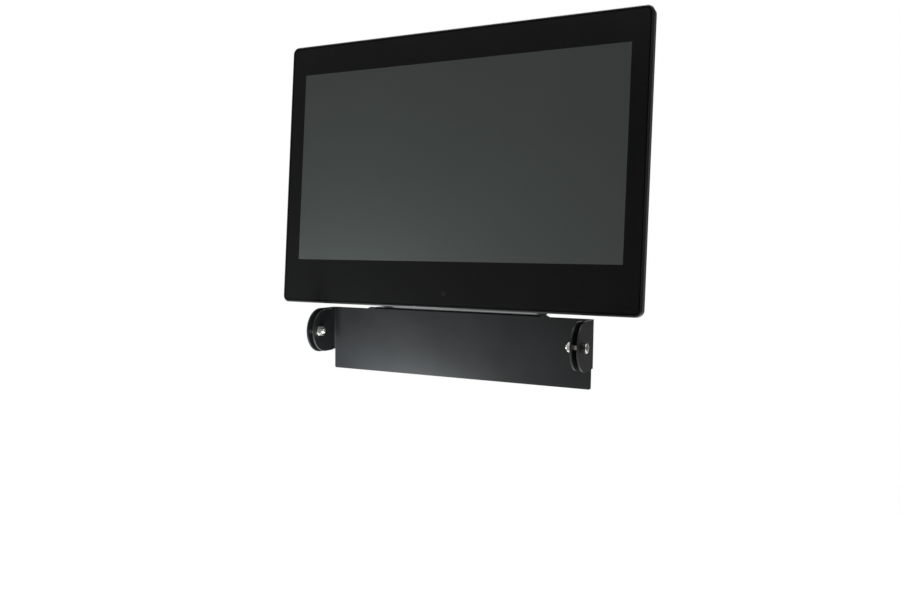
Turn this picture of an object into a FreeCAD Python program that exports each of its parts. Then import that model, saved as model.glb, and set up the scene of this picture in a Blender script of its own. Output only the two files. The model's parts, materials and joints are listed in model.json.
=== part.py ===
"""All-in-one panel PC, 14 inch, on the steel tilt bracket that hangs it between two side walls.

Row frame, millimetres: the origin is the middle of the pivot axis through the two ear screws,
+X is to the right seen from the front, +Y is to the back, +Z is up along the side walls.

The computer is drawn in its own frame and set back by REST_TILT at the end: x to the right,
y back from the front of the glass, z up the screen, origin at the middle of the picture.
"""
import FreeCAD, Part
import math
import os

V = FreeCAD.Vector

# ---------------------------------------------------------------- driving dimensions
# Picture and front
SCREEN_DIAGONAL = 14.0 * 25.4
PICTURE_W = SCREEN_DIAGONAL * 16 / math.hypot(16, 9)
PICTURE_H = SCREEN_DIAGONAL * 9 / math.hypot(16, 9)
BEZEL_SIDE = 16.5
BEZEL_TOP = 27.8
BEZEL_BOTTOM = 40.8
FRONT_W = PICTURE_W + 2 * BEZEL_SIDE
FRONT_TOP = PICTURE_H / 2 + BEZEL_TOP
FRONT_BOTTOM = -PICTURE_H / 2 - BEZEL_BOTTOM
FRONT_H = FRONT_TOP - FRONT_BOTTOM
FRONT_MID = (FRONT_TOP + FRONT_BOTTOM) / 2
FRONT_CORNER = 6.0

# Front frame and rear cover
LIP_W = 1.9             # frame that shows round the glass
LIP_CHAMFER = 0.8
LIP_BACK = 0.15         # the lip stands this far behind the glass
GLASS_T = 1.8
GLASS_GAP = 0.1
LEDGE_Y = 2.6           # face that carries the gasket
LEDGE_T = 1.5
LEDGE_W = 9.0           # from the outside to the ledge's inner edge
LEDGE_CORNER = 2.0
GASKET_MARGIN = 0.6
GLASS_CHAMFER = 0.3
FRAME_WALL = 3.0
PARTING_Y = 6.5         # where frame and rear cover meet
FLANGE_Y = 10.0         # back of the thin rim
HUMP_Y = 38.0           # back of the hump, where the bracket bolts on
COVER_WALL = 1.8
RIM_ROUND = 1.6
HUMP_X = 150.0
HUMP_TOP = 92.0
HUMP_BOTTOM = -108.0
HUMP_CORNER = 10.0
HUMP_ROUND = 4.0
HUMP_IN_X = HUMP_X - COVER_WALL
HUMP_IN_Y = HUMP_Y - COVER_WALL
COVER_IN_Y = FLANGE_Y - COVER_WALL

# Display module
PANEL_X = 160.2
PANEL_TOP = 92.0
PANEL_BOTTOM = -99.0
FILM_T = 0.3
CELL_T = 1.2
OPTICS_T = 0.5
GUIDE_T = 1.6
TRAY_SHEET = 0.5
CELL_Y = GLASS_T + FILM_T
TRAY_FRONT_Y = CELL_Y + CELL_T
GUIDE_Y = TRAY_FRONT_Y + OPTICS_T
TRAY_BACK_Y = GUIDE_Y + GUIDE_T + TRAY_SHEET
FILM_MARGIN_X = 0.8     # the touch film reaches this far past the display module
FILM_MARGIN_Z = 2.0
CELL_CONNECTIONS_H = 4.0        # free strip under the cell for its driver chips
LED_PITCH = 8.2
LED_COUNT = 36
LED_BAR_HALF_W = 150.0
LED_BAR_H = 4.0
DRIVER_BOARD_HALF_W = 112.0
DRIVER_BOARD_H = 10.0
PAD_STRIP_W = 10.0
STATUS_Z = FRONT_BOTTOM + 13.0
STATUS_R = 2.6
STATUS_GUIDE_L = 1.6

# Chassis and mainboard
CHASSIS_T = 1.2
CHASSIS_BACK_Y = PARTING_Y + CHASSIS_T
STANDOFF_H = 6.0
BOARD_T = 1.6
BOARD_Y = CHASSIS_BACK_Y + STANDOFF_H
BOARD_TOP_Y = BOARD_Y + BOARD_T
BOARD_X = (-144.0, 46.0)
BOARD_Z = (-70.0, 52.0)
BOARD_HOLES = [(x, z) for x in (-118.0, 40.0) for z in (-64.0, 46.0)]
CPU_X = -30.0
PROCESSOR_HALF = 16.0
DIE_HALF = 8.0
PROCESSOR_T = 1.8
PAD_HALF = 10.0
PAD_T = 0.5
SINK_HALF = 36.0
SINK_BASE_T = 3.0
SINK_SCREW_AT = 30.0
SINK_POINTS = [(CPU_X + sx * SINK_SCREW_AT, sz * SINK_SCREW_AT) for sx in (-1, 1) for sz in (-1, 1)]
FIN_COUNT = 15
FIN_PITCH = 5.0
FIN_T = 1.2
FIN_TOP_GAP = 2.5
MEMORY_X = 13.0
MEMORY_HALF_W = 33.8
SSD_AT = (-102.0, -56.0)
WIFI_AT = (-114.0, 30.0)
CELL_AT = (24.0, -54.0)
COIN_R = 10.0
COIN_T = 3.2
CARD_HALF_W = 9.8
CARD_IN_SOCKET = 1.8
DISPLAY_CABLE_X = (-84.0, -64.0)
DISPLAY_SLOT_Z = (-93.0, -85.0)
TOUCH_CABLE_Z = (-26.0, -14.0)
TOUCH_BOARD_X = (84.0, 134.0)
TOUCH_BOARD_Z = (-34.0, -6.0)
SPEAKER_X = (92.0, 138.0)
SPEAKER_Y = (12.0, 32.0)
SPEAKER_H = 19.4

# Fasteners: a shank is drawn plain, THREAD_GAP smaller than its hole
THREAD_GAP = 0.03
M25_R = 1.25
M3_R = 1.5
M4_R = 2.0
HEAD_ROUND = 0.6        # of the head's height
CROSS_SPAN = 1.15       # of the head's radius
CROSS_W = 0.26          # of the head's radius
CROSS_DEPTH = 0.55      # of the head's height
TIP_CHAMFER = 0.25      # of the shank's radius
HEX_CHAMFER = 0.09      # of the radius to a corner
CLEARANCE = 0.1         # of a hole that a screw passes through
RIDGE_MID_X = FRONT_W / 2 - (FRAME_WALL + LEDGE_W) / 2
RIDGE_MID_Z = FRONT_H / 2 - (FRAME_WALL + LEDGE_W) / 2
CHASSIS_POINTS = [(s * RIDGE_MID_X, FRONT_MID + z) for s in (-1, 1) for z in (-86.0, 0.0, 86.0)]
CHASSIS_POINTS += [(x, FRONT_MID + s * RIDGE_MID_Z) for s in (-1, 1) for x in (-60.0, 60.0)]
COVER_POINTS = [(s * RIDGE_MID_X, FRONT_MID + z) for s in (-1, 1) for z in (-43.0, 43.0)]
COVER_POINTS += [(x, FRONT_MID + s * RIDGE_MID_Z) for s in (-1, 1) for x in (-120.0, 0.0, 120.0)]
FRAME_BOSS_R = 2.8
BLIND_WALL = 0.6        # left in front of a screw hole in the ledge
COUNTERSINK = 1.2       # wider than the chassis screws' shanks by this
COVER_SINK_R = 2.8
COVER_SINK_DEPTH = 1.1
STANDOFF_AF = 5.5

# Sockets and buttons on the left wall of the hump: middle height of each
DC_Z = -38.0
HDMI_Z = -19.0
USB_Z = (-1.0, 15.0)
LAN_Z = 33.0
AUDIO_Z = 46.0
WINDOW_Z = (-47.0, 52.0)
WINDOW_Y = (13.0, 31.5)
PORT_FACE_X = -HUMP_X + 1.0
IO_PLATE_T = 0.8
IO_PLATE_MARGIN = (1.5, 2.0)    # past the window, along y and along z
IO_HOLE_GAP = 0.25
USB_SIZE = (5.9, 6.6, 14.0)     # height along y, half width along z, length along x
HDMI_SIZE = (6.0, 7.6, 11.0)
LAN_SIZE = (13.2, 8.0, 21.0)
DC_SIZE = (11.0, 4.6, 14.0)
AUDIO_SIZE = (5.0, 3.0, 13.5)
SHELL_WALL = 0.4
LAN_CAVITY = (11.8, 7.6)        # width along z, height along y
LAN_DEPTH = 14.0
DC_HOLE_R = 3.2
DC_PIN_R = 1.0
AUDIO_R = 1.8
AUDIO_DEPTH = 12.0
AUDIO_NOSE = (2.5, 0.6)         # radius, how far it stands out
LOCK_SLOT_Y = (20.5, 23.5)
LOCK_SLOT_Z = (-75.0, -68.0)
BUTTON_Y = 22.0
BUTTON_Z = {"volume_down_button": 60.0, "volume_up_button": 69.0, "power_button": 78.0}
BUTTON_TRAVEL = 0.7
BUTTON_PROUD = 1.0
BUTTON_GAP = 0.2
BUTTON_HALF_H = 2.6
BUTTON_HALF_W = 5.0
BUTTON_CORNER = 1.6
BUTTON_FLANGE = (5.6, 3.4, 0.8)         # half width, half height, thickness
BUTTON_BOARD_Z = (56.0, 82.0)
BUTTON_BOARD_HALF_W = 11.5
BUTTON_BOARD_T = 1.2
SWITCH_BODY = (1.0, 3.2)        # from the plunger's tip to its front and its back
BUTTON_POSTS = [(BUTTON_Y - 9.0, 69.0), (BUTTON_Y + 9.0, 69.0)]
SWITCH_X = -HUMP_IN_X + 3.8      # tip of each switch's plunger

# VESA interface
VESA_PITCH = 100.0
VESA_MID_Z = -8.0
VESA_HALF = VESA_PITCH / 2
VESA_POINTS = [(sx * VESA_HALF, VESA_MID_Z + sz * VESA_HALF) for sx in (-1, 1) for sz in (-1, 1)]
INSERT_R = 3.0
INSERT_L = 8.0
INSERT_BOSS_R = 5.0
INSERT_GROOVE = (0.4, 1.0)      # depth, width

# Vents and speaker slots
VENT_PITCH = 5.6
VENT_W = 2.6
BACK_VENT_COUNT = 41
BACK_VENT_H = 18.0
BACK_VENT_Z = 73.0
TOP_VENT_COUNT = 21
TOP_VENT_Y = (15.0, 31.0)
SPEAKER_SLOT_COUNT = 7
SPEAKER_SLOT_PITCH = 4.6
SPEAKER_SLOT_W = 2.2
SPEAKER_SLOT_Y = (15.0, 29.0)

# Bracket, in the row frame
REST_TILT = 4.0         # degrees the screen leans back from the side walls
SCREEN_Y = 20.4         # middle of the picture from the pivot axis
SCREEN_Z = 152.5
SHEET = 1.5
BEND_IN = 1.5
BEND_OUT = BEND_IN + SHEET
EAR_OUT_X = 128.0
EAR_IN_X = EAR_OUT_X - SHEET
EAR_R = 20.25
EAR_TIP_Y = -10.0
FASCIA_Y = 33.0
FASCIA_HALF_W = 126.0   # below the ears, where the sheet isn't bent
FASCIA_BOTTOM = -38.2
SHELF_TOP = 21.9
NECK_HALF_W = 81.5
NECK_TOP = 57.0         # in the computer's frame
NECK_CORNER = 8.0
STRAP_W = 9.0           # the neck's two straps, one at each end of the shelf
SHELF_EDGE_Y = 47.5     # free rear edge of the shelf between the straps
STRAP_TOP = 50.0        # upper edge of the window between the straps
STRAP_CORNER = 5.0
WEB_W = (5.0, 8.0)      # web beside each end of the shelf: width at its top and at its foot
WEB_H = 1.5
FASCIA_CORNER = 1.5
VESA_HOLE_GAP = 0.25

# Wall clamps, in the row frame
WALL_SLOT = 4.4         # takes a 4 mm wall
CLAMP_OUT_X = EAR_IN_X - WALL_SLOT
CLAMP_T = 1.5
CLAMP_R = 19.5
CLAMP_BACK_Y = 23.4
CLAMP_CORNER = 3.0
CLAMP_HOLE_GAP = 0.15
BUSH_R = 3.5
BUSH_RUNNING_GAP = 0.05
BUSH_COLLAR_R = 4.2
BUSH_COLLAR_T = 3.2
BUSH_END_GAP = 0.05
BUSH_ROUND = 0.5
BUSH_BORE_GAP = 0.02
PIVOT_HEAD_R = 4.0
PIVOT_HEAD_H = 1.9
WASHER_R = 4.5
WASHER_T = 0.8
NUT_AF = 7.0
NUT_H = 3.2
SCREW_TAIL = 1.8        # thread that shows past the nut
PAST = 1.0              # how far a cutting shape runs past the faces it opens
OVERLAP = 0.1           # how far a piece reaches into the one it is fused with
TOUCH = 1e-6


# ---------------------------------------------------------------- helpers
def block(x0, x1, y0, y1, z0, z1):
    """A box between two corners, given in any order."""
    xs, ys, zs = sorted((x0, x1)), sorted((y0, y1)), sorted((z0, z1))
    return Part.makeBox(xs[1] - xs[0], ys[1] - ys[0], zs[1] - zs[0], V(xs[0], ys[0], zs[0]))


def rod(radius, start, end):
    """A round bar between two points."""
    axis = V(*end) - V(*start)
    return Part.makeCylinder(radius, axis.Length, V(*start), axis)


def edges_where(shape, test):
    """The edges whose every vertex passes the test."""
    return [edge for edge in shape.Edges if all(test(vertex.Point) for vertex in edge.Vertexes)]


def along(shape, direction):
    """The straight edges that run along a direction."""
    found = []
    for edge in shape.Edges:
        if isinstance(edge.Curve, Part.Line) and abs(abs(edge.Curve.Direction.dot(direction)) - 1) < TOUCH:
            found.append(edge)
    return found


def slab(width, height, y0, y1, radius, mid_x=0.0, mid_z=0.0):
    """An upright plate with rounded corners, width by height seen from the front."""
    x0, z0 = mid_x - width / 2, mid_z - height / 2
    shape = block(x0, x0 + width, y0, y1, z0, z0 + height)
    return shape.makeFillet(radius, along(shape, V(0, 1, 0)))


def pill(width, height, y0, y1, mid_x, mid_z):
    """An upright plate whose two short ends are round."""
    return slab(width, height, y0, y1, min(width, height) / 2 - 0.01, mid_x, mid_z)


def fuse_all(shapes):
    """One solid from shapes that touch or overlap."""
    return shapes[0].multiFuse(shapes[1:]).removeSplitter()


def cut_all(shape, tools):
    """The shape with every tool taken away."""
    return shape.cut(Part.makeCompound(tools)).removeSplitter()


def mirrored(shape):
    """The same shape on the other side of the middle plane."""
    return shape.mirror(V(0, 0, 0), V(1, 0, 0))


def both_sides(shape):
    """A group of a shape and its mirror image."""
    return Part.makeCompound([shape, mirrored(shape)])


def aimed(shape, position, direction):
    """A shape drawn along +Z, turned to a direction and moved to a position."""
    shape.Placement = FreeCAD.Placement(V(*position), FreeCAD.Rotation(V(0, 0, 1), V(*direction)))
    return shape


def placed_at(shape, points, y):
    """Copies of a shape drawn along +Z, turned to the back and set at points of one upright plane."""
    return Part.makeCompound([aimed(shape.copy(), (x, y, z), (0, 1, 0)) for x, z in points])


def pan_screw(shank_r, shank_l, head_r, head_h):
    """A cross-recess pan-head screw along +Z, with the underside of its head at the origin."""
    head = Part.makeCylinder(head_r, head_h)
    head = head.makeFillet(head_h * HEAD_ROUND, edges_where(head, lambda p: p.z > head_h - TOUCH))
    arm, width, depth = head_r * CROSS_SPAN, head_r * CROSS_W, head_h * CROSS_DEPTH
    cross = [
        Part.makeBox(arm, width, depth, V(-arm / 2, -width / 2, head_h - depth)),
        Part.makeBox(width, arm, depth, V(-width / 2, -arm / 2, head_h - depth)),
    ]
    shank = Part.makeCylinder(shank_r - THREAD_GAP, shank_l, V(0, 0, -shank_l))
    shank = shank.makeChamfer(shank_r * TIP_CHAMFER, edges_where(shank, lambda p: p.z < TOUCH - shank_l))
    return cut_all(head, cross).fuse(shank).removeSplitter()


def flat_screw(shank_r, shank_l, head_r, head_h):
    """A countersunk screw along +Z, with the top of its head at the origin."""
    head = Part.makeCone(shank_r - THREAD_GAP, head_r, head_h, V(0, 0, -head_h))
    width, depth = head_r * CROSS_W, head_h * CROSS_DEPTH
    cross = [
        Part.makeBox(head_r, width, depth, V(-head_r / 2, -width / 2, -depth)),
        Part.makeBox(width, head_r, depth, V(-width / 2, -head_r / 2, -depth)),
    ]
    shank = Part.makeCylinder(shank_r - THREAD_GAP, shank_l, V(0, 0, -shank_l))
    return cut_all(head.fuse(shank), cross)


def ring(outer_r, inner_r, thickness):
    """A flat washer along +Z, on the origin."""
    return Part.makeCylinder(outer_r, thickness).cut(Part.makeCylinder(inner_r, thickness))


def hex_prism(across_flats, height):
    """A chamfered hexagon along +Z."""
    corner = across_flats / math.sqrt(3)
    angles = [math.radians(60 * i) for i in range(7)]
    points = [V(corner * math.cos(angle), corner * math.sin(angle), 0) for angle in angles]
    prism = Part.Face(Part.makePolygon(points)).extrude(V(0, 0, height))
    blank = Part.makeCylinder(corner, height)
    rims = [edge for edge in blank.Edges if isinstance(edge.Curve, Part.Circle)]
    return prism.common(blank.makeChamfer(corner * HEX_CHAMFER, rims))


def row_of(count, pitch):
    """Positions of a row of equal steps centred on zero."""
    return [(i - (count - 1) / 2) * pitch for i in range(count)]


def d_plate(x0, x1, radius, tip_y, back_y):
    """A plate across X with a round front end and a straight back edge."""
    low, high = V(x0, tip_y + radius, -radius), V(x0, tip_y + radius, radius)
    back_low, back_high = V(x0, back_y, -radius), V(x0, back_y, radius)
    outline = [
        Part.makeLine(back_low, low),
        Part.Arc(low, V(x0, tip_y, 0), high).toShape(),
        Part.makeLine(high, back_high),
        Part.makeLine(back_high, back_low),
    ]
    return Part.Face(Part.Wire(outline)).extrude(V(x1 - x0, 0, 0))


def set_back(shape):
    """Move a shape from the computer's frame to the row frame, leaning back by REST_TILT."""
    placed = shape.copy()
    placed.rotate(V(0, 0, 0), V(1, 0, 0), -REST_TILT)
    placed.translate(V(0, SCREEN_Y, SCREEN_Z))
    return placed


# ---------------------------------------------------------------- bracket and wall clamps
def neck_point(y, z):
    """A point of the computer's frame, given in the row frame, at the neck's left edge."""
    point = set_back(Part.Vertex(V(0, y, z))).Point
    return V(-NECK_HALF_W, point.y, point.z)


def neck_at_height(y, row_z):
    """The point at a height in the row frame, on the upright plane y of the computer's frame."""
    lean = math.radians(REST_TILT)
    z = (row_z - SCREEN_Z + y * math.sin(lean)) / math.cos(lean)
    return neck_point(y, z)


def bracket_spine():
    """Middle of the bracket: the fascia, the bend back into a shelf, and the neck up the back."""
    x0 = -NECK_HALF_W
    front_y, back_y = HUMP_Y, HUMP_Y + SHEET
    shelf_low = SHELF_TOP - SHEET
    points = [
        V(x0, FASCIA_Y, FASCIA_BOTTOM),
        V(x0, FASCIA_Y, SHELF_TOP),
        neck_at_height(front_y, SHELF_TOP),
        neck_point(front_y, NECK_TOP),
        neck_point(back_y, NECK_TOP),
        neck_at_height(back_y, shelf_low),
        V(x0, FASCIA_Y + SHEET, shelf_low),
        V(x0, FASCIA_Y + SHEET, FASCIA_BOTTOM),
    ]
    solid = Part.Face(Part.makePolygon(points + points[:1])).extrude(V(2 * NECK_HALF_W, 0, 0))
    near = 1e-4

    def bends_at(*corners):
        found = []
        for edge in along(solid, V(1, 0, 0)):
            at = edge.Vertexes[0]
            if any(abs(at.Y - corner.y) < near and abs(at.Z - corner.z) < near for corner in corners):
                found.append(edge)
        return found

    solid = solid.makeFillet(BEND_OUT, bends_at(points[1], points[5]))
    solid = solid.makeFillet(BEND_IN, bends_at(points[2], points[6]))
    top_corners = [edge for edge in solid.Edges
                   if edge.BoundBox.ZMin > neck_point(front_y, NECK_TOP).z - 1.0
                   and edge.BoundBox.XLength < TOUCH and edge.Length < SHEET * 1.5]
    return solid.makeFillet(NECK_CORNER, top_corners)


def strap_window():
    """The room between the neck's two straps, from the shelf's rear edge upwards."""
    half = NECK_HALF_W - STRAP_W
    room = block(-half, half, SHELF_EDGE_Y, SHELF_EDGE_Y + 4 * SHEET, SHELF_TOP - SHEET - PAST, STRAP_TOP)
    top_edges = [edge for edge in along(room, V(0, 1, 0)) if edge.Vertexes[0].Z > STRAP_TOP - TOUCH]
    room = room.makeFillet(STRAP_CORNER, top_edges)
    inner_edges = [edge for edge in along(room, V(0, 0, 1)) if edge.Vertexes[0].Y < SHELF_EDGE_Y + TOUCH]
    return room.makeFillet(BEND_IN, inner_edges)


def shoulder_web():
    """Low web that joins the right shoulder's upper edge to the end of the shelf."""
    top_w, foot_w = WEB_W
    reach = STRAP_CORNER
    outline = [V(NECK_HALF_W - reach, FASCIA_Y, SHELF_TOP - BEND_OUT - WEB_H),
               V(NECK_HALF_W + foot_w, FASCIA_Y, EAR_R - WEB_H),
               V(NECK_HALF_W + foot_w, FASCIA_Y, EAR_R),
               V(NECK_HALF_W + top_w, FASCIA_Y, EAR_R + WEB_H),
               V(NECK_HALF_W, FASCIA_Y, EAR_R + WEB_H),
               V(NECK_HALF_W, FASCIA_Y, SHELF_TOP - BEND_OUT)]
    return Part.Face(Part.makePolygon(outline + outline[:1])).extrude(V(0, SHEET, 0))


def bracket():
    """Bracket: one bent and powder-coated steel sheet."""
    back_y = FASCIA_Y + SHEET
    near = 0.1
    shoulders = block(-FASCIA_HALF_W, FASCIA_HALF_W, FASCIA_Y, back_y, FASCIA_BOTTOM, EAR_R)
    low_corners = [edge for edge in along(shoulders, V(0, 1, 0)) if edge.Vertexes[0].Z < 0]
    shoulders = shoulders.makeFillet(FASCIA_CORNER, low_corners)
    ear = block(NECK_HALF_W, EAR_OUT_X, EAR_TIP_Y, back_y, -EAR_R, EAR_R)
    ear = ear.cut(block(0, EAR_IN_X, EAR_TIP_Y - PAST, FASCIA_Y, -EAR_R - PAST, EAR_R + PAST))
    outer_bend = [edge for edge in along(ear, V(0, 0, 1))
                  if edge.Vertexes[0].X > EAR_OUT_X - near and edge.Vertexes[0].Y > back_y - near]
    ear = ear.makeFillet(BEND_OUT, outer_bend)
    inner_bend = [edge for edge in along(ear, V(0, 0, 1))
                  if abs(edge.Vertexes[0].X - EAR_IN_X) < near and abs(edge.Vertexes[0].Y - FASCIA_Y) < near]
    ear = ear.makeFillet(BEND_IN, inner_bend)
    ear = ear.common(d_plate(0, EAR_OUT_X + PAST, EAR_R, EAR_TIP_Y, back_y))
    web = shoulder_web()
    sheet = fuse_all([bracket_spine(), shoulders, ear, mirrored(ear), web, mirrored(web)])
    pivot_hole = rod(BUSH_R + BUSH_RUNNING_GAP, (-EAR_OUT_X - PAST, 0, 0), (EAR_OUT_X + PAST, 0, 0))
    cuts = [pivot_hole, strap_window()]
    for x, z in VESA_POINTS:
        start, end = (x, HUMP_Y - PAST, z), (x, HUMP_Y + SHEET + PAST, z)
        cuts.append(set_back(rod(M4_R + VESA_HOLE_GAP, start, end)))
    return cut_all(sheet, cuts)


def clamp_plate():
    """Plate on the inner face of the right side wall, with a hole for the pivot screw."""
    inner_x = CLAMP_OUT_X - CLAMP_T
    tip_y = EAR_TIP_Y + EAR_R - CLAMP_R
    plate = d_plate(inner_x, CLAMP_OUT_X, CLAMP_R, tip_y, CLAMP_BACK_Y)
    corners = [edge for edge in along(plate, V(1, 0, 0)) if edge.Vertexes[0].Y > CLAMP_BACK_Y - TOUCH]
    plate = plate.makeFillet(CLAMP_CORNER, corners)
    return plate.cut(rod(M4_R + CLAMP_HOLE_GAP, (inner_x - PAST, 0, 0), (CLAMP_OUT_X + PAST, 0, 0)))


def pivot_bush():
    """Black nylon bush: its sleeve runs in the ear's hole and its collar carries the screw head."""
    collar_x = EAR_OUT_X + BUSH_END_GAP
    face_x = collar_x + BUSH_COLLAR_T
    sleeve = rod(BUSH_R, (EAR_IN_X, 0, 0), (collar_x, 0, 0))
    collar = rod(BUSH_COLLAR_R, (collar_x, 0, 0), (face_x, 0, 0))
    collar = collar.makeFillet(BUSH_ROUND, edges_where(collar, lambda p: p.x > face_x - TOUCH))
    bore = rod(M4_R + BUSH_BORE_GAP, (EAR_IN_X - PAST, 0, 0), (face_x + PAST, 0, 0))
    return fuse_all([sleeve, collar]).cut(bore)


def clamp_stack():
    """Where the pivot screw's pieces lie along X on the right side, from the head inwards."""
    head_x = EAR_OUT_X + BUSH_END_GAP + BUSH_COLLAR_T
    washer_x = CLAMP_OUT_X - CLAMP_T
    nut_x = washer_x - WASHER_T
    tail_x = nut_x - NUT_H - SCREW_TAIL
    return head_x, washer_x, nut_x, tail_x


def pivot_screw():
    head_x, _, _, tail_x = clamp_stack()
    return aimed(pan_screw(M4_R, head_x - tail_x, PIVOT_HEAD_R, PIVOT_HEAD_H), (head_x, 0, 0), (1, 0, 0))


def pivot_washer():
    _, washer_x, _, _ = clamp_stack()
    return aimed(ring(WASHER_R, M4_R + CLEARANCE, WASHER_T), (washer_x, 0, 0), (-1, 0, 0))


def pivot_nut():
    _, _, nut_x, _ = clamp_stack()
    nut = hex_prism(NUT_AF, NUT_H).cut(Part.makeCylinder(M4_R, NUT_H))
    return aimed(nut, (nut_x, 0, 0), (-1, 0, 0))


# ---------------------------------------------------------------- front: frame, glass, display module
def front_plate(inset, y0, y1, radius):
    """A plate with the outline of the front, smaller by an inset all round."""
    return slab(FRONT_W - 2 * inset, FRONT_H - 2 * inset, y0, y1, radius, 0.0, FRONT_MID)


def front_frame():
    """Frame: a thin lip round the glass, the ledge that carries it, and bosses for the screws."""
    body = front_plate(0.0, LIP_BACK, PARTING_Y, FRONT_CORNER)
    body = body.makeChamfer(LIP_CHAMFER, edges_where(body, lambda p: p.y < LIP_BACK + TOUCH))
    ledge_back = LEDGE_Y + LEDGE_T
    pocket = front_plate(LIP_W, -PAST, LEDGE_Y, FRONT_CORNER - LIP_W)
    window = front_plate(LEDGE_W, LEDGE_Y - PAST, ledge_back + PAST, LEDGE_CORNER)
    cavity = front_plate(FRAME_WALL, ledge_back, PARTING_Y + PAST, FRONT_CORNER - FRAME_WALL)
    body = cut_all(body, [pocket, window, cavity])
    boss_y, hole_y = ledge_back - LEDGE_T / 3, LEDGE_Y + BLIND_WALL
    bosses = [rod(FRAME_BOSS_R, (x, boss_y, z), (x, PARTING_Y, z)) for x, z in CHASSIS_POINTS]
    bosses += [rod(FRAME_BOSS_R, (x, boss_y, z), (x, COVER_IN_Y, z)) for x, z in COVER_POINTS]
    holes = [rod(M25_R, (x, hole_y, z), (x, FLANGE_Y, z)) for x, z in CHASSIS_POINTS + COVER_POINTS]
    return cut_all(fuse_all([body] + bosses), holes)


def cover_glass():
    """Cover glass with its touch electrodes, printed black round the picture on the back."""
    inset = LIP_W + GLASS_GAP
    glass = front_plate(inset, 0.0, GLASS_T, FRONT_CORNER - inset)
    return glass.makeChamfer(GLASS_CHAMFER, edges_where(glass, lambda p: p.y < TOUCH))


def glass_gasket():
    """Foam adhesive ring between the glass and the frame's ledge."""
    outer_in = LIP_W + GASKET_MARGIN
    outer = front_plate(outer_in, GLASS_T, LEDGE_Y, FRONT_CORNER - outer_in)
    return outer.cut(front_plate(LEDGE_W - GASKET_MARGIN, GLASS_T - PAST, LEDGE_Y + PAST, LEDGE_CORNER))


def touch_film():
    half = PANEL_X + FILM_MARGIN_X
    return block(-half, half, GLASS_T, CELL_Y, PANEL_BOTTOM - FILM_MARGIN_Z, PANEL_TOP + FILM_MARGIN_Z)


def lcd_cell():
    half = PANEL_X - TRAY_SHEET
    low_z, high_z = PANEL_BOTTOM + CELL_CONNECTIONS_H, PANEL_TOP - TRAY_SHEET
    return block(-half, half, CELL_Y, TRAY_FRONT_Y, low_z, high_z)


def lcd_tray():
    """Folded steel tray that holds the films, the light guide and the LED bar."""
    outer = block(-PANEL_X, PANEL_X, TRAY_FRONT_Y, TRAY_BACK_Y, PANEL_BOTTOM, PANEL_TOP)
    half = PANEL_X - TRAY_SHEET
    low_z, high_z = PANEL_BOTTOM + TRAY_SHEET, PANEL_TOP - TRAY_SHEET
    return outer.cut(block(-half, half, TRAY_FRONT_Y - PAST, TRAY_BACK_Y - TRAY_SHEET, low_z, high_z))


def optics_sheet(y0, y1):
    """A sheet with the outline of the light guide, above the LED bar inside the tray."""
    side_gap, bottom_gap = 1.0, 7.0
    half = PANEL_X - side_gap
    return block(-half, half, y0, y1, PANEL_BOTTOM + bottom_gap, PANEL_TOP - side_gap)


def optical_films():
    return optics_sheet(TRAY_FRONT_Y, GUIDE_Y)


def light_guide():
    return optics_sheet(GUIDE_Y, GUIDE_Y + GUIDE_T)


def led_bar():
    """Aluminium strip with a row of LEDs that face the light guide's lower edge."""
    low_z = PANEL_BOTTOM + 1.5
    high_z = low_z + LED_BAR_H
    strip = block(-LED_BAR_HALF_W, LED_BAR_HALF_W, GUIDE_Y + 0.2, GUIDE_Y + GUIDE_T, low_z, high_z)
    led_half, led_h, led_y, led_t = 2.0, 1.0, GUIDE_Y + 0.4, 1.0
    leds = [block(x - led_half, x + led_half, led_y, led_y + led_t, high_z - OVERLAP, high_z + led_h)
            for x in row_of(LED_COUNT, LED_PITCH)]
    return fuse_all([strip] + leds)


def lcd_driver_board():
    """Narrow circuit board below the cell, with its four chips."""
    high_z = PANEL_BOTTOM
    y0, board_t, chip_t = TRAY_FRONT_Y + 0.1, 1.0, 0.9
    half = DRIVER_BOARD_HALF_W
    board = block(-half, half, y0, y0 + board_t, high_z - DRIVER_BOARD_H, high_z)
    chip_half, chip_y, chip_z = 6.0, y0 + board_t - OVERLAP / 2, (high_z - 7.0, high_z - 3.0)
    chips = [block(x - chip_half, x + chip_half, chip_y, y0 + board_t + chip_t, *chip_z)
             for x in row_of(4, half / 2)]
    return fuse_all([board] + chips)


def lcd_pads():
    """Foam strips that press the display module forward from the chassis plate."""
    half_w, half_l, half_h = PAD_STRIP_W / 2, LED_BAR_HALF_W, 60.0
    inset, above_leds = 12.0, 26.0
    strips = [block(-half_l, half_l, TRAY_BACK_Y, PARTING_Y, z - half_w, z + half_w)
              for z in (PANEL_TOP - inset, PANEL_BOTTOM + above_leds)]
    strips += [block(x - half_w, x + half_w, TRAY_BACK_Y, PARTING_Y, -half_h, half_h)
               for x in (-PANEL_X + inset, PANEL_X - inset)]
    return Part.makeCompound(strips)


def status_light_guide():
    """Clear plug that shows the status light and the remote sensor through a spot in the printed border."""
    return rod(STATUS_R, (0, GLASS_T, STATUS_Z), (0, GLASS_T + STATUS_GUIDE_L, STATUS_Z))


def status_board():
    """Small board behind the plug, with its connector to one side."""
    y0, board_t, plug_t = GLASS_T + STATUS_GUIDE_L, 1.0, 1.0
    half_w, half_h = 9.0, 3.4
    board = block(-half_w, half_w, y0, y0 + board_t, STATUS_Z - half_h, STATUS_Z + half_h)
    plug_y = y0 + board_t - OVERLAP
    plug = block(4.0, 8.0, plug_y, y0 + board_t + plug_t, STATUS_Z - 2.4, STATUS_Z + 2.4)
    return fuse_all([board, plug])


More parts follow.
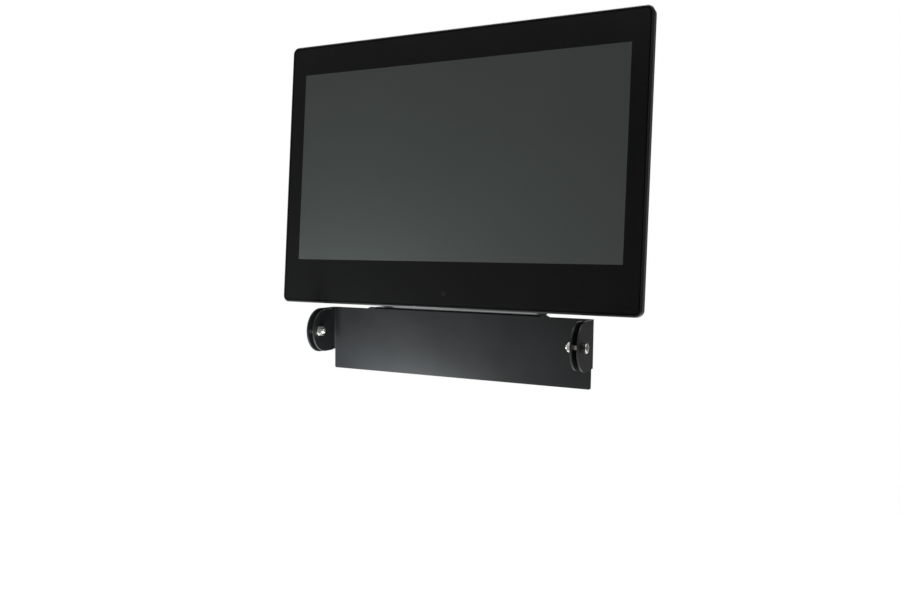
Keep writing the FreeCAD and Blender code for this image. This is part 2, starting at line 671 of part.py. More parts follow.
# ---------------------------------------------------------------- chassis and circuit boards
def chassis_plate():
    """Steel plate screwed to the frame; it carries the mainboard and closes the display's back."""
    plate = front_plate(FRAME_WALL + 0.6, PARTING_Y, CHASSIS_BACK_Y, FRONT_CORNER - FRAME_WALL)
    y0, y1 = PARTING_Y - PAST, CHASSIS_BACK_Y + PAST
    cuts = [rod(FRAME_BOSS_R + 0.3, (x, y0, z), (x, y1, z)) for x, z in COVER_POINTS]
    for x, z in CHASSIS_POINTS:
        cuts.append(rod(M25_R, (x, y0, z), (x, y1, z)))
        cuts.append(Part.makeCone(M25_R, M25_R + COUNTERSINK, CHASSIS_T, V(x, PARTING_Y, z), V(0, 1, 0)))
    vent_w, vent_h = 34.0, 12.0
    cuts += [pill(vent_w, vent_h, y0, y1, x, z) for x in (-118, -72, 72, 118) for z in (70, 98)]
    cable_x0, cable_x1 = DISPLAY_CABLE_X[0] - 2, DISPLAY_CABLE_X[1] + 2
    cuts.append(block(cable_x0, cable_x1, y0, y1, *DISPLAY_SLOT_Z))
    tail_z0, tail_z1 = TOUCH_CABLE_Z[0] - 1, TOUCH_CABLE_Z[1] + 1
    cuts.append(block(PANEL_X - 1.5, PANEL_X + 2.0, y0, y1, tail_z0, tail_z1))
    return cut_all(plate, cuts)


def chassis_screws():
    screw = flat_screw(M25_R, 4.0, M25_R + COUNTERSINK - 0.05, CHASSIS_T)
    return placed_at(screw, CHASSIS_POINTS, CHASSIS_BACK_Y)


def board_standoffs():
    """Hexagon pillars between the chassis plate and the mainboard."""
    pillar = hex_prism(STANDOFF_AF, STANDOFF_H).cut(Part.makeCylinder(M3_R, STANDOFF_H))
    return placed_at(pillar, BOARD_HOLES, CHASSIS_BACK_Y)


def board_screws():
    return placed_at(pan_screw(M3_R, 5.0, 2.9, 1.7), BOARD_HOLES, BOARD_TOP_Y)


def mainboard():
    """Mainboard with its soldered coils, capacitors, headers and module stand-offs."""
    board = block(BOARD_X[0], BOARD_X[1], BOARD_Y, BOARD_TOP_Y, BOARD_Z[0], BOARD_Z[1])
    base = BOARD_TOP_Y - OVERLAP
    coil_half, coil_h, coil_z, coil_pitch = 3.5, 3.6, (44.0, 51.0), 9.0
    can_r, can_h, can_z = 2.5, 5.8, 41.0
    bank_half, bank_h = 7.0, 1.1
    plug_h, plug_margin = 1.6, 3.0
    parts = [board]
    parts += [block(x - coil_half, x + coil_half, base, base + coil_h, *coil_z)
              for x in row_of(5, coil_pitch)]
    for x in row_of(4, coil_pitch):
        can_x = x + coil_pitch / 2
        parts.append(rod(can_r, (can_x, base, can_z), (can_x, base + can_h, can_z)))
    parts += [block(x - bank_half, x + bank_half, base, base + bank_h, -9, 9) for x in (-90.0, -108.0)]
    plug_x0, plug_x1 = DISPLAY_CABLE_X[0] - plug_margin, DISPLAY_CABLE_X[1] + plug_margin
    parts.append(block(plug_x0, plug_x1, base, base + plug_h, BOARD_Z[0], BOARD_Z[0] + plug_margin))
    holes = [rod(M3_R + CLEARANCE, (x, BOARD_Y - PAST, z), (x, base + 9, z)) for x, z in BOARD_HOLES]
    return cut_all(fuse_all(parts), holes)


def processor():
    """Processor: its carrier and the die on top."""
    y0, carrier_t = BOARD_TOP_Y, 1.0
    carrier = block(CPU_X - PROCESSOR_HALF, CPU_X + PROCESSOR_HALF, y0, y0 + carrier_t,
                    -PROCESSOR_HALF, PROCESSOR_HALF)
    die = block(CPU_X - DIE_HALF, CPU_X + DIE_HALF, y0 + carrier_t - OVERLAP, y0 + PROCESSOR_T,
                -DIE_HALF, DIE_HALF)
    return fuse_all([carrier, die])


def thermal_pad():
    y0 = BOARD_TOP_Y + PROCESSOR_T
    return block(CPU_X - PAD_HALF, CPU_X + PAD_HALF, y0, y0 + PAD_T, -PAD_HALF, PAD_HALF)


def heatsink():
    """Finned aluminium block over the processor; its air leaves by the vents above it."""
    y0 = BOARD_TOP_Y + PROCESSOR_T + PAD_T
    base_y = y0 + SINK_BASE_T
    head_room_r, foot_r = 4.0, 3.0
    parts = [block(CPU_X - SINK_HALF, CPU_X + SINK_HALF, y0, base_y, -SINK_HALF, SINK_HALF)]
    for step in row_of(FIN_COUNT, FIN_PITCH):
        x0, x1 = CPU_X + step - FIN_T / 2, CPU_X + step + FIN_T / 2
        parts.append(block(x0, x1, base_y - OVERLAP, HUMP_IN_Y - FIN_TOP_GAP, -SINK_HALF, SINK_HALF))
    cuts = []
    for x, z in SINK_POINTS:
        parts.append(rod(foot_r, (x, BOARD_TOP_Y, z), (x, y0 + OVERLAP, z)))
        cuts.append(rod(head_room_r, (x, base_y, z), (x, HUMP_IN_Y, z)))
        cuts.append(rod(M25_R + CLEARANCE, (x, BOARD_Y, z), (x, base_y + PAST, z)))
    return cut_all(fuse_all(parts), cuts)


def heatsink_screws():
    y0 = BOARD_TOP_Y + PROCESSOR_T + PAD_T + SINK_BASE_T
    return placed_at(pan_screw(M25_R, y0 - BOARD_TOP_Y - 0.1, 2.6, 1.5), SINK_POINTS, y0)


def memory_socket():
    """Edge socket along the memory module's contacts, with its two latches."""
    y0 = BOARD_TOP_Y
    body_w, body_h, body_half = 6.0, 4.4, 36.0
    arm_h, arm_t, arm_x = 4.0, 1.4, MEMORY_X + 26.0
    x1 = MEMORY_X + body_w
    body = block(MEMORY_X, x1, y0, y0 + body_h, -body_half, body_half)
    arms = [block(x1 - OVERLAP, arm_x, y0, y0 + arm_h, side * (body_half - arm_t), side * body_half)
            for side in (-1, 1)]
    slot_half = MEMORY_HALF_W + 0.2
    slot = block(MEMORY_X + body_w / 2, x1 + PAST, y0 + 2.2, y0 + 3.5, -slot_half, slot_half)
    return fuse_all([body] + arms).cut(slot)


def memory_module():
    """Memory module: its board and the four chips on top."""
    y0, board_t, chip_t = BOARD_TOP_Y + 2.25, 1.2, 1.0
    board = block(MEMORY_X + 3.2, MEMORY_X + 32.5, y0, y0 + board_t, -MEMORY_HALF_W, MEMORY_HALF_W)
    chip_half, chip_y = 5.0, y0 + board_t - OVERLAP
    chip_x = (MEMORY_X + 12, MEMORY_X + 24)
    chips = [block(*chip_x, chip_y, y0 + board_t + chip_t, z - chip_half, z + chip_half)
             for z in row_of(4, 15.5)]
    return fuse_all([board] + chips)


def card_socket(x, mid_z):
    """Low edge socket for a plug-in card that lies to its right."""
    y0 = BOARD_TOP_Y
    depth, height, half_w = 5.0, 4.0, 11.0
    slot_half = CARD_HALF_W + 0.2
    body = block(x - depth, x, y0, y0 + height, mid_z - half_w, mid_z + half_w)
    return body.cut(block(x - 2, x + PAST, y0 + 2.0, y0 + 3.0, mid_z - slot_half, mid_z + slot_half))


def card(x, mid_z, length, chips):
    """A plug-in card whose contacts lie in a card_socket."""
    y0, board_t, chip_t, chip_half = BOARD_TOP_Y + 2.1, 0.8, 1.4, 7.0
    x0 = x - CARD_IN_SOCKET
    parts = [block(x0, x0 + length, y0, y0 + board_t, mid_z - CARD_HALF_W, mid_z + CARD_HALF_W)]
    for start, end in chips:
        parts.append(block(x + start, x + end, y0 + board_t - OVERLAP, y0 + board_t + chip_t,
                           mid_z - chip_half, mid_z + chip_half))
    return fuse_all(parts)


def card_sockets():
    return Part.makeCompound([card_socket(*SSD_AT), card_socket(*WIFI_AT)])


def ssd_module():
    return card(*SSD_AT, 80.0, [(8, 20), (26, 42), (50, 66)])


def wifi_module():
    return card(*WIFI_AT, 30.0, [(6, 20)])


def cell_holder():
    """Open cup for the coin cell."""
    x, z = CELL_AT
    wall, gap, floor_t, height = 1.3, 0.1, 0.8, 4.0
    cup = rod(COIN_R + gap + wall, (x, BOARD_TOP_Y, z), (x, BOARD_TOP_Y + height, z))
    floor_y = BOARD_TOP_Y + floor_t
    return cup.cut(rod(COIN_R + gap, (x, floor_y, z), (x, floor_y + height, z)))


def coin_cell():
    x, z = CELL_AT
    floor_y = BOARD_TOP_Y + 0.8
    return rod(COIN_R, (x, floor_y, z), (x, floor_y + COIN_T, z))


def touch_board():
    """Touch controller board on the back of the chassis plate, with its chip and the tail's connector."""
    y0, board_t, chip_t, plug_t = CHASSIS_BACK_Y, 1.2, 1.2, 1.8
    chip_y = y0 + board_t - OVERLAP
    board = block(*TOUCH_BOARD_X, y0, y0 + board_t, *TOUCH_BOARD_Z)
    chip = block(100, 112, chip_y, y0 + board_t + chip_t, -26, -14)
    plug = block(126, 133, chip_y, y0 + board_t + plug_t, TOUCH_CABLE_Z[0] - 1, TOUCH_CABLE_Z[1] + 1)
    return fuse_all([board, chip, plug])


def display_cable():
    """Ribbon from the mainboard, down and through the chassis plate, to the display's driver board."""
    t = 0.3
    x0, x1 = DISPLAY_CABLE_X
    slot_z = sum(DISPLAY_SLOT_Z) / 2
    plug_z = PANEL_BOTTOM - 4.0
    board_y = TRAY_FRONT_Y + 2.0
    gap_z = PANEL_BOTTOM - 1.2
    low_y = PARTING_Y - t - 0.1
    pieces = [
        block(x0, x1, BOARD_TOP_Y + 1.5, BOARD_TOP_Y + 1.5 + t, BOARD_Z[0] + 1, slot_z),
        block(x0, x1, low_y, BOARD_TOP_Y + 1.5 + t, slot_z - t, slot_z),
        block(x0, x1, low_y, low_y + t, gap_z - t, slot_z),
        block(x0, x1, board_y, low_y + t, gap_z - t, gap_z),
        block(x0, x1, board_y, board_y + t, plug_z - 4, gap_z),
    ]
    return fuse_all(pieces)


def touch_cable():
    """Flat tail of the touch film, round the display's right edge to the touch board."""
    t = 0.2
    z0, z1 = TOUCH_CABLE_Z
    side_x = PANEL_X + 1.0
    film_y = GLASS_T + FILM_T
    plate_y = CHASSIS_BACK_Y + 0.05
    pieces = [
        block(side_x - 0.8, side_x + t, film_y, film_y + t, z0, z1),
        block(side_x, side_x + t, film_y, plate_y + t, z0, z1),
        block(134.05, side_x + t, plate_y, plate_y + t, z0, z1),
    ]
    return fuse_all(pieces)


def speaker(side):
    """Small enclosed speaker that sounds through the slots under the hump."""
    x0, x1 = side * SPEAKER_X[0], side * SPEAKER_X[1]
    mid = (x0 + x1) / 2
    floor = HUMP_BOTTOM + COVER_WALL
    low_z, corner = floor + 0.6, 2.0
    box = block(x0, x1, SPEAKER_Y[0], SPEAKER_Y[1], low_z, low_z + SPEAKER_H)
    box = box.makeFillet(corner, along(box, V(0, 1, 0)))
    tab_out, tab_half, tab_t, tab_z = 3.0, 3.6, 2.0, (floor + 8.0, floor + 16.0)
    hole_z = sum(tab_z) / 2
    parts = [box]
    cuts = []
    for x in (x0, x1):
        tab_x = x + math.copysign(tab_out, x - mid)
        parts.append(block(tab_x - tab_half, tab_x + tab_half, SPEAKER_Y[0], SPEAKER_Y[0] + tab_t, *tab_z))
        cuts.append(rod(M25_R, (tab_x, SPEAKER_Y[0] - PAST, hole_z), (tab_x, SPEAKER_Y[0] + 3, hole_z)))
    rim_r, dome_r, cone_h = 7.5, 4.0, 2.5
    cone = Part.makeCone(rim_r, dome_r, cone_h, V(mid, sum(SPEAKER_Y) / 2, low_z), V(0, 0, 1))
    return cut_all(fuse_all(parts), cuts + [cone])


def antennas():
    """Two small antenna boards under the top wall of the hump."""
    high_z, board_t = HUMP_TOP - COVER_WALL, 0.8
    return both_sides(block(72, 122, 14.0, 22.0, high_z - board_t, high_z))


# ---------------------------------------------------------------- sockets
def shell_box(x0, x1, y0, y1, z0, z1, wall):
    """A metal shell closed at its right end and open to the left."""
    outer = block(x0, x1, y0, y1, z0, z1)
    return outer.cut(block(x0 - 1, x1 - wall, y0 + wall, y1 - wall, z0 + wall, z1 - wall))


def usb_ports():
    """Two USB-A sockets, each a metal shell with its contact tongue."""
    y0 = BOARD_TOP_Y
    height, half_w, length = USB_SIZE
    tongue_half, tongue_y, tongue_in = 5.5, (y0 + 1.0, y0 + 2.8), 1.2
    sockets = []
    for z in USB_Z:
        shell = shell_box(PORT_FACE_X, PORT_FACE_X + length, y0, y0 + height, z - half_w, z + half_w,
                          SHELL_WALL)
        tongue = block(PORT_FACE_X + tongue_in, PORT_FACE_X + length - SHELL_WALL / 2, *tongue_y,
                       z - tongue_half, z + tongue_half)
        sockets.append(fuse_all([shell, tongue]))
    return Part.makeCompound(sockets)


def hdmi_port():
    """Video socket: a shell with two sloped lower corners, and its tongue."""
    y0 = BOARD_TOP_Y
    height, half_w, length = HDMI_SIZE
    slope_w, slope_h = 2.0, 2.2
    narrow = half_w - slope_w
    outline = [(half_w, height), (half_w, slope_h), (narrow, 0.0),
               (-narrow, 0.0), (-half_w, slope_h), (-half_w, height)]

    def prism(shrink, x0, x1):
        mid_y = height / 2
        points = []
        for dz, dy in outline:
            z = dz - math.copysign(shrink, dz)
            y = mid_y + (dy - mid_y) * (1 - shrink / mid_y)
            points.append(V(x0, y0 + y, HDMI_Z + z))
        return Part.Face(Part.makePolygon(points + points[:1])).extrude(V(x1 - x0, 0, 0))

    back_x, back_t, tongue_half = PORT_FACE_X + length, 0.5, 5.4
    shell = prism(0.0, PORT_FACE_X, back_x).cut(prism(SHELL_WALL, PORT_FACE_X - PAST, back_x - back_t))
    tongue = block(PORT_FACE_X + 1.0, back_x - back_t / 2, y0 + 2.6, y0 + 3.9,
                   HDMI_Z - tongue_half, HDMI_Z + tongue_half)
    return fuse_all([shell, tongue])


def lan_port():
    """Network socket: a metal-clad housing with a stepped cavity for the plug and its latch."""
    y0 = BOARD_TOP_Y
    height, half_w, length = LAN_SIZE
    housing = block(PORT_FACE_X, PORT_FACE_X + length, y0, y0 + height, LAN_Z - half_w, LAN_Z + half_w)
    floor_y = y0 + 1.2
    roof_y = floor_y + LAN_CAVITY[1]
    latch_half, latch_y = 3.0, roof_y + 1.8
    hook_half, hook_y = 1.6, roof_y + 3.0
    x0, x1 = PORT_FACE_X - PAST, PORT_FACE_X + LAN_DEPTH
    plug_half = LAN_CAVITY[0] / 2
    plug = block(x0, x1, floor_y, roof_y, LAN_Z - plug_half, LAN_Z + plug_half)
    latch = block(x0, x1, roof_y - OVERLAP, latch_y, LAN_Z - latch_half, LAN_Z + latch_half)
    hook = block(x0, x1, latch_y - OVERLAP, hook_y, LAN_Z - hook_half, LAN_Z + hook_half)
    return cut_all(housing, [plug, latch, hook])


def dc_jack():
    """Round power inlet with its centre pin."""
    y0 = BOARD_TOP_Y
    height, half_w, length = DC_SIZE
    mid_y, hole_depth, pin_root = y0 + height / 2, 9.0, 9.5
    body = block(PORT_FACE_X, PORT_FACE_X + length, y0, y0 + height, DC_Z - half_w, DC_Z + half_w)
    hole = rod(DC_HOLE_R, (PORT_FACE_X - PAST, mid_y, DC_Z), (PORT_FACE_X + hole_depth, mid_y, DC_Z))
    pin = rod(DC_PIN_R, (PORT_FACE_X + 1.0, mid_y, DC_Z), (PORT_FACE_X + pin_root, mid_y, DC_Z))
    return fuse_all([body.cut(hole), pin])


def audio_jack():
    """Headphone socket, a plain 3.5 mm bore in a small block."""
    y0 = BOARD_TOP_Y
    height, half_w, length = AUDIO_SIZE
    nose_r, nose_l = AUDIO_NOSE
    mid_y = y0 + 2.6
    nose_x = PORT_FACE_X - nose_l
    body = block(PORT_FACE_X, PORT_FACE_X + length, y0, y0 + height, AUDIO_Z - half_w, AUDIO_Z + half_w)
    nose = rod(nose_r, (nose_x, mid_y, AUDIO_Z), (PORT_FACE_X + 1, mid_y, AUDIO_Z))
    bore = rod(AUDIO_R, (nose_x - PAST, mid_y, AUDIO_Z), (nose_x + AUDIO_DEPTH, mid_y, AUDIO_Z))
    return fuse_all([body, nose]).cut(bore)


def io_plate():
    """Steel plate behind the window of the rear cover, with a hole for each socket."""
    x0, x1 = -HUMP_IN_X, -HUMP_IN_X + IO_PLATE_T
    margin_y, margin_z = IO_PLATE_MARGIN
    plate = block(x0, x1, WINDOW_Y[0] - margin_y, WINDOW_Y[1] + margin_y,
                  WINDOW_Z[0] - margin_z, WINDOW_Z[1] + margin_z)
    plate = plate.makeFillet(margin_y, along(plate, V(1, 0, 0)))
    sockets = [(USB_SIZE, z) for z in USB_Z]
    sockets += [(HDMI_SIZE, HDMI_Z), (LAN_SIZE, LAN_Z), (DC_SIZE, DC_Z), (AUDIO_SIZE, AUDIO_Z)]
    cuts = []
    for (height, half_w, _), z in sockets:
        y0, y1 = BOARD_TOP_Y - IO_HOLE_GAP, BOARD_TOP_Y + height + IO_HOLE_GAP
        half = half_w + IO_HOLE_GAP
        cuts.append(block(x0 - PAST, x1 + PAST, y0, y1, z - half, z + half))
    return cut_all(plate, cuts)


# ---------------------------------------------------------------- buttons
def button(z, round_cap):
    """A button cap in the hump's left wall, with the flange that keeps it in and its stem."""
    outer_x, flange_x = -HUMP_X - BUTTON_PROUD, -HUMP_IN_X + 0.05
    edge_round, stem_r, switch_gap = 0.4, 1.2, 0.05
    if round_cap:
        cap = rod(BUTTON_HALF_H, (outer_x, BUTTON_Y, z), (flange_x, BUTTON_Y, z))
    else:
        cap = block(outer_x, flange_x, BUTTON_Y - BUTTON_HALF_W, BUTTON_Y + BUTTON_HALF_W,
                    z - BUTTON_HALF_H, z + BUTTON_HALF_H)
        cap = cap.makeFillet(BUTTON_CORNER, along(cap, V(1, 0, 0)))
    cap = cap.makeFillet(edge_round, edges_where(cap, lambda p: p.x < outer_x + TOUCH))
    half_w, half_h, flange_t = BUTTON_FLANGE
    flange = block(flange_x, flange_x + flange_t, BUTTON_Y - half_w, BUTTON_Y + half_w,
                   z - half_h, z + half_h)
    stem = rod(stem_r, (flange_x, BUTTON_Y, z), (SWITCH_X - BUTTON_TRAVEL - switch_gap, BUTTON_Y, z))
    return fuse_all([cap, flange, stem])


def button_holes():
    """Holes in the rear cover's left wall for the three caps."""
    half_h, half_w = BUTTON_HALF_H + BUTTON_GAP, BUTTON_HALF_W + BUTTON_GAP
    x0, x1 = -HUMP_X - PAST, -HUMP_IN_X + 0.5
    power_z = BUTTON_Z["power_button"]
    holes = [rod(half_h, (x0, BUTTON_Y, power_z), (x1, BUTTON_Y, power_z))]
    for name in ("volume_up_button", "volume_down_button"):
        z = BUTTON_Z[name]
        hole = block(x0, x1, BUTTON_Y - half_w, BUTTON_Y + half_w, z - half_h, z + half_h)
        holes.append(hole.makeFillet(BUTTON_CORNER + BUTTON_GAP, along(hole, V(1, 0, 0))))
    return holes


def button_switches():
    """Three push switches on the button board; a cap's stem stops just short of each plunger."""
    front_x, back_x = SWITCH_X + SWITCH_BODY[0], SWITCH_X + SWITCH_BODY[1]
    half, plunger_r = 3.0, 1.4
    switches = []
    for z in BUTTON_Z.values():
        body = block(front_x, back_x, BUTTON_Y - half, BUTTON_Y + half, z - half, z + half)
        plunger = rod(plunger_r, (SWITCH_X, BUTTON_Y, z), (front_x + OVERLAP, BUTTON_Y, z))
        switches.append(fuse_all([body, plunger]))
    return Part.makeCompound(switches)


def button_board():
    """Upright board that carries the three switches."""
    x0 = SWITCH_X + SWITCH_BODY[1]
    x1 = x0 + BUTTON_BOARD_T
    half = BUTTON_BOARD_HALF_W
    board = block(x0, x1, BUTTON_Y - half, BUTTON_Y + half, *BUTTON_BOARD_Z)
    holes = [rod(M25_R + CLEARANCE, (x0 - PAST, y, z), (x1 + PAST, y, z)) for y, z in BUTTON_POSTS]
    return cut_all(board, holes)


def button_board_screws():
    x = SWITCH_X + SWITCH_BODY[1] + BUTTON_BOARD_T
    screw = pan_screw(M25_R, 4.5, 2.3, 1.3)
    return Part.makeCompound([aimed(screw.copy(), (x, y, z), (1, 0, 0)) for y, z in BUTTON_POSTS])


# ---------------------------------------------------------------- rear cover
def vent_slots():
    """Vent slots: a band across the top of the hump's back, and a row in its top wall."""
    half = VENT_W / 2
    back = [pill(VENT_W, BACK_VENT_H, HUMP_IN_Y - PAST, HUMP_Y + PAST, x, BACK_VENT_Z)
            for x in row_of(BACK_VENT_COUNT, VENT_PITCH)]
    top = [block(x - half, x + half, *TOP_VENT_Y, HUMP_TOP - COVER_WALL - PAST, HUMP_TOP + PAST)
           for x in row_of(TOP_VENT_COUNT, VENT_PITCH)]
    return back + top


def speaker_slots():
    """Slots in the hump's lower wall, under each speaker."""
    half, low_z, high_z = SPEAKER_SLOT_W / 2, HUMP_BOTTOM - PAST, HUMP_BOTTOM + COVER_WALL + PAST
    slots = []
    for side in (-1, 1):
        mid = side * sum(SPEAKER_X) / 2
        slots += [block(mid + x - half, mid + x + half, *SPEAKER_SLOT_Y, low_z, high_z)
                  for x in row_of(SPEAKER_SLOT_COUNT, SPEAKER_SLOT_PITCH)]
    return slots


def cover_shell():
    """The rear cover's thin rim and hump, hollow, without bosses or holes."""
    mid_z, height = (HUMP_TOP + HUMP_BOTTOM) / 2, HUMP_TOP - HUMP_BOTTOM
    rim = front_plate(0.0, PARTING_Y, FLANGE_Y, FRONT_CORNER)
    rim = rim.makeFillet(RIM_ROUND, edges_where(rim, lambda p: p.y > FLANGE_Y - TOUCH))
    hump = slab(2 * HUMP_X, height, PARTING_Y, HUMP_Y, HUMP_CORNER, 0.0, mid_z)
    hump = hump.makeFillet(HUMP_ROUND, edges_where(hump, lambda p: p.y > HUMP_Y - TOUCH))
    rim_room = front_plate(FRAME_WALL, PARTING_Y - PAST, COVER_IN_Y, FRONT_CORNER - FRAME_WALL)
    room_h, room_corner = height - 2 * COVER_WALL, HUMP_CORNER - COVER_WALL
    room = slab(2 * HUMP_IN_X, room_h, PARTING_Y - PAST, HUMP_IN_Y, room_corner, 0.0, mid_z)
    room = room.makeFillet(HUMP_ROUND - COVER_WALL, edges_where(room, lambda p: p.y > HUMP_IN_Y - TOUCH))
    return cut_all(rim.fuse(hump).removeSplitter(), [rim_room, room])


def rear_cover():
    """Moulded rear cover: a thin rim as large as the front, and the hump that holds the electronics."""
    post_r, into_wall = 2.4, 0.5
    board_x = SWITCH_X + SWITCH_BODY[1]
    boss_y = HUMP_IN_Y - INSERT_L + COVER_WALL
    bosses = [rod(INSERT_BOSS_R, (x, boss_y, z), (x, HUMP_Y - into_wall, z)) for x, z in VESA_POINTS]
    bosses += [rod(post_r, (-HUMP_X + into_wall, y, z), (board_x, y, z)) for y, z in BUTTON_POSTS]
    shell = fuse_all([cover_shell()] + bosses)
    window = block(-HUMP_X - PAST, -HUMP_IN_X, *WINDOW_Y, *WINDOW_Z)
    window = window.makeFillet(2.0, along(window, V(1, 0, 0)))
    lock = block(-HUMP_X - PAST, -HUMP_IN_X + PAST, *LOCK_SLOT_Y, *LOCK_SLOT_Z)
    lock = lock.makeFillet(0.8, along(lock, V(1, 0, 0)))
    cuts = [window, lock] + vent_slots() + speaker_slots() + button_holes()
    for x, z in VESA_POINTS:
        cuts.append(rod(INSERT_R + THREAD_GAP, (x, HUMP_Y - INSERT_L, z), (x, HUMP_Y + PAST, z)))
    for y, z in BUTTON_POSTS:
        cuts.append(rod(M25_R, (-HUMP_IN_X + 1, y, z), (board_x + PAST, y, z)))
    for x, z in COVER_POINTS:
        cuts.append(rod(M25_R + CLEARANCE, (x, PARTING_Y, z), (x, FLANGE_Y + PAST, z)))
        cuts.append(rod(COVER_SINK_R, (x, FLANGE_Y - COVER_SINK_DEPTH, z), (x, FLANGE_Y + PAST, z)))
    return cut_all(shell, cuts)


def cover_screws():
    return placed_at(pan_screw(M25_R, 5.0, 2.5, 1.0), COVER_POINTS, FLANGE_Y - COVER_SINK_DEPTH)


def vesa_inserts():
    """Knurled brass inserts, flush with the back of the hump."""
    depth, width = INSERT_GROOVE
    groove = ring(INSERT_R + PAST, INSERT_R - depth, width).translated(V(0, 0, (INSERT_L - width) / 2))
    sleeve = ring(INSERT_R, M4_R, INSERT_L).cut(groove)
    return Part.makeCompound([aimed(sleeve.copy(), (x, HUMP_Y, z), (0, -1, 0)) for x, z in VESA_POINTS])


def vesa_screws():
    screw = pan_screw(M4_R, SHEET + 6.5, 4.0, 2.6)
    return placed_at(screw, VESA_POINTS, HUMP_Y + SHEET)


# ---------------------------------------------------------------- the assembly
def all_nodes():
    """Every node's shape in the row frame, by name."""
    plate = clamp_plate()
    nodes = {
        "bracket": bracket(),
        "clamp_plate_right": plate,
        "clamp_plate_left": mirrored(plate),
        "pivot_screws": both_sides(pivot_screw()),
        "pivot_bushes": both_sides(pivot_bush()),
        "pivot_washers": both_sides(pivot_washer()),
        "pivot_nuts": both_sides(pivot_nut()),
    }
    computer = {
        "speaker_left": speaker(-1),
        "speaker_right": speaker(1),
    }
    for name, z in BUTTON_Z.items():
        computer[name] = button(z, name == "power_button")
    for make in (front_frame, cover_glass, glass_gasket, touch_film, lcd_cell, lcd_tray, optical_films,
                 light_guide, led_bar, lcd_driver_board, lcd_pads, status_light_guide, status_board,
                 chassis_plate, chassis_screws, board_standoffs, board_screws, mainboard, processor,
                 thermal_pad, heatsink, heatsink_screws, memory_socket, memory_module, card_sockets,
                 ssd_module, wifi_module, cell_holder, coin_cell, touch_board, display_cable, touch_cable,
                 antennas, usb_ports, hdmi_port, lan_port, dc_jack, audio_jack, io_plate, button_switches,
                 button_board, button_board_screws, rear_cover, cover_screws, vesa_inserts, vesa_screws):
        computer[make.__name__] = make()
    for name, shape in computer.items():
        nodes[name] = set_back(shape)
    return nodes


def main():
    os.makedirs("parts", exist_ok=True)
    for name, shape in all_nodes().items():
        shape.exportStep("parts/" + name + ".step")


main()
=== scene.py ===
"""All-in-one panel PC on its steel tilt bracket: finishes, fine pieces, studio and camera.

Metres, in the row frame: the origin is the middle of the pivot axis through the two ear screws, +X is to
the right seen from the front, +Y is to the back, +Z is up.
"""

import json
import math

import bmesh
import bpy
from mathutils import Matrix, Vector

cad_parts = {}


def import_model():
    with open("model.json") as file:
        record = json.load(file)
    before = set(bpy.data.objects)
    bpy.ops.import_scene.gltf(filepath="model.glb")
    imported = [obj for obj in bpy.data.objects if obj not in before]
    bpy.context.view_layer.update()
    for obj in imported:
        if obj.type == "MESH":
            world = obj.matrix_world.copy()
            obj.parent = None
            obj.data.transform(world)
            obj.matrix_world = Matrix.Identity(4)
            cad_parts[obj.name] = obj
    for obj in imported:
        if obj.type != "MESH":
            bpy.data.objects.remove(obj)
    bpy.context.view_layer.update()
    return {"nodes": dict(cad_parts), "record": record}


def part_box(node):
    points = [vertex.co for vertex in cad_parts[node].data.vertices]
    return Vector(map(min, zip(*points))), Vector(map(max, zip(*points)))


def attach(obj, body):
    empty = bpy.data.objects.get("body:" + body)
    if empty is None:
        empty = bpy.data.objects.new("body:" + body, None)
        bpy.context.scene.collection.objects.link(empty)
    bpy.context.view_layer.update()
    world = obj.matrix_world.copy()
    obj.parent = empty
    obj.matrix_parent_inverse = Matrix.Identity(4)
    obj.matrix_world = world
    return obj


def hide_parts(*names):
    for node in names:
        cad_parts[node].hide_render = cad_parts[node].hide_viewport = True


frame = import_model()
NODES = frame["nodes"]
MM = 0.001

# ---------------------------------------------------------------- the computer's own frame
REST_TILT = math.radians(4.0)       # how far the screen leans back
GLASS_T = 1.8 * MM
PICTURE_W = 309.9 * MM
PICTURE_H = 174.3 * MM
PICTURE_ABOVE_GLASS_MIDDLE = 6.5 * MM   # the border below the picture is the wider one
STATUS_BELOW_PICTURE = 114.9 * MM       # from the picture's middle down to the status window
STATUS_R = 2.6 * MM

LEAN = Matrix.Rotation(-REST_TILT, 4, "X")
UP = LEAN @ Vector((0, 0, 1))
BACK = LEAN @ Vector((0, 1, 0))


def middle(node):
    """Middle of a CAD node's box."""
    low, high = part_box(node)
    return (low + high) / 2


SCREEN_ORIGIN = middle("cover_glass") + UP * PICTURE_ABOVE_GLASS_MIDDLE - BACK * GLASS_T / 2
SCREEN = Matrix.Translation(SCREEN_ORIGIN) @ LEAN


# ---------------------------------------------------------------- material tools
PATTERN_RANGE = (0.3, 0.7)      # a noise pattern mostly keeps within this
EDGE_WEAR_AND_HIGHLIGHT_FADE = (0.98, 0.8)         # cosine between true and rounded normal: no edge wear and painted highlight, full edge wear and painted highlight
EDGE_SAMPLES = 6


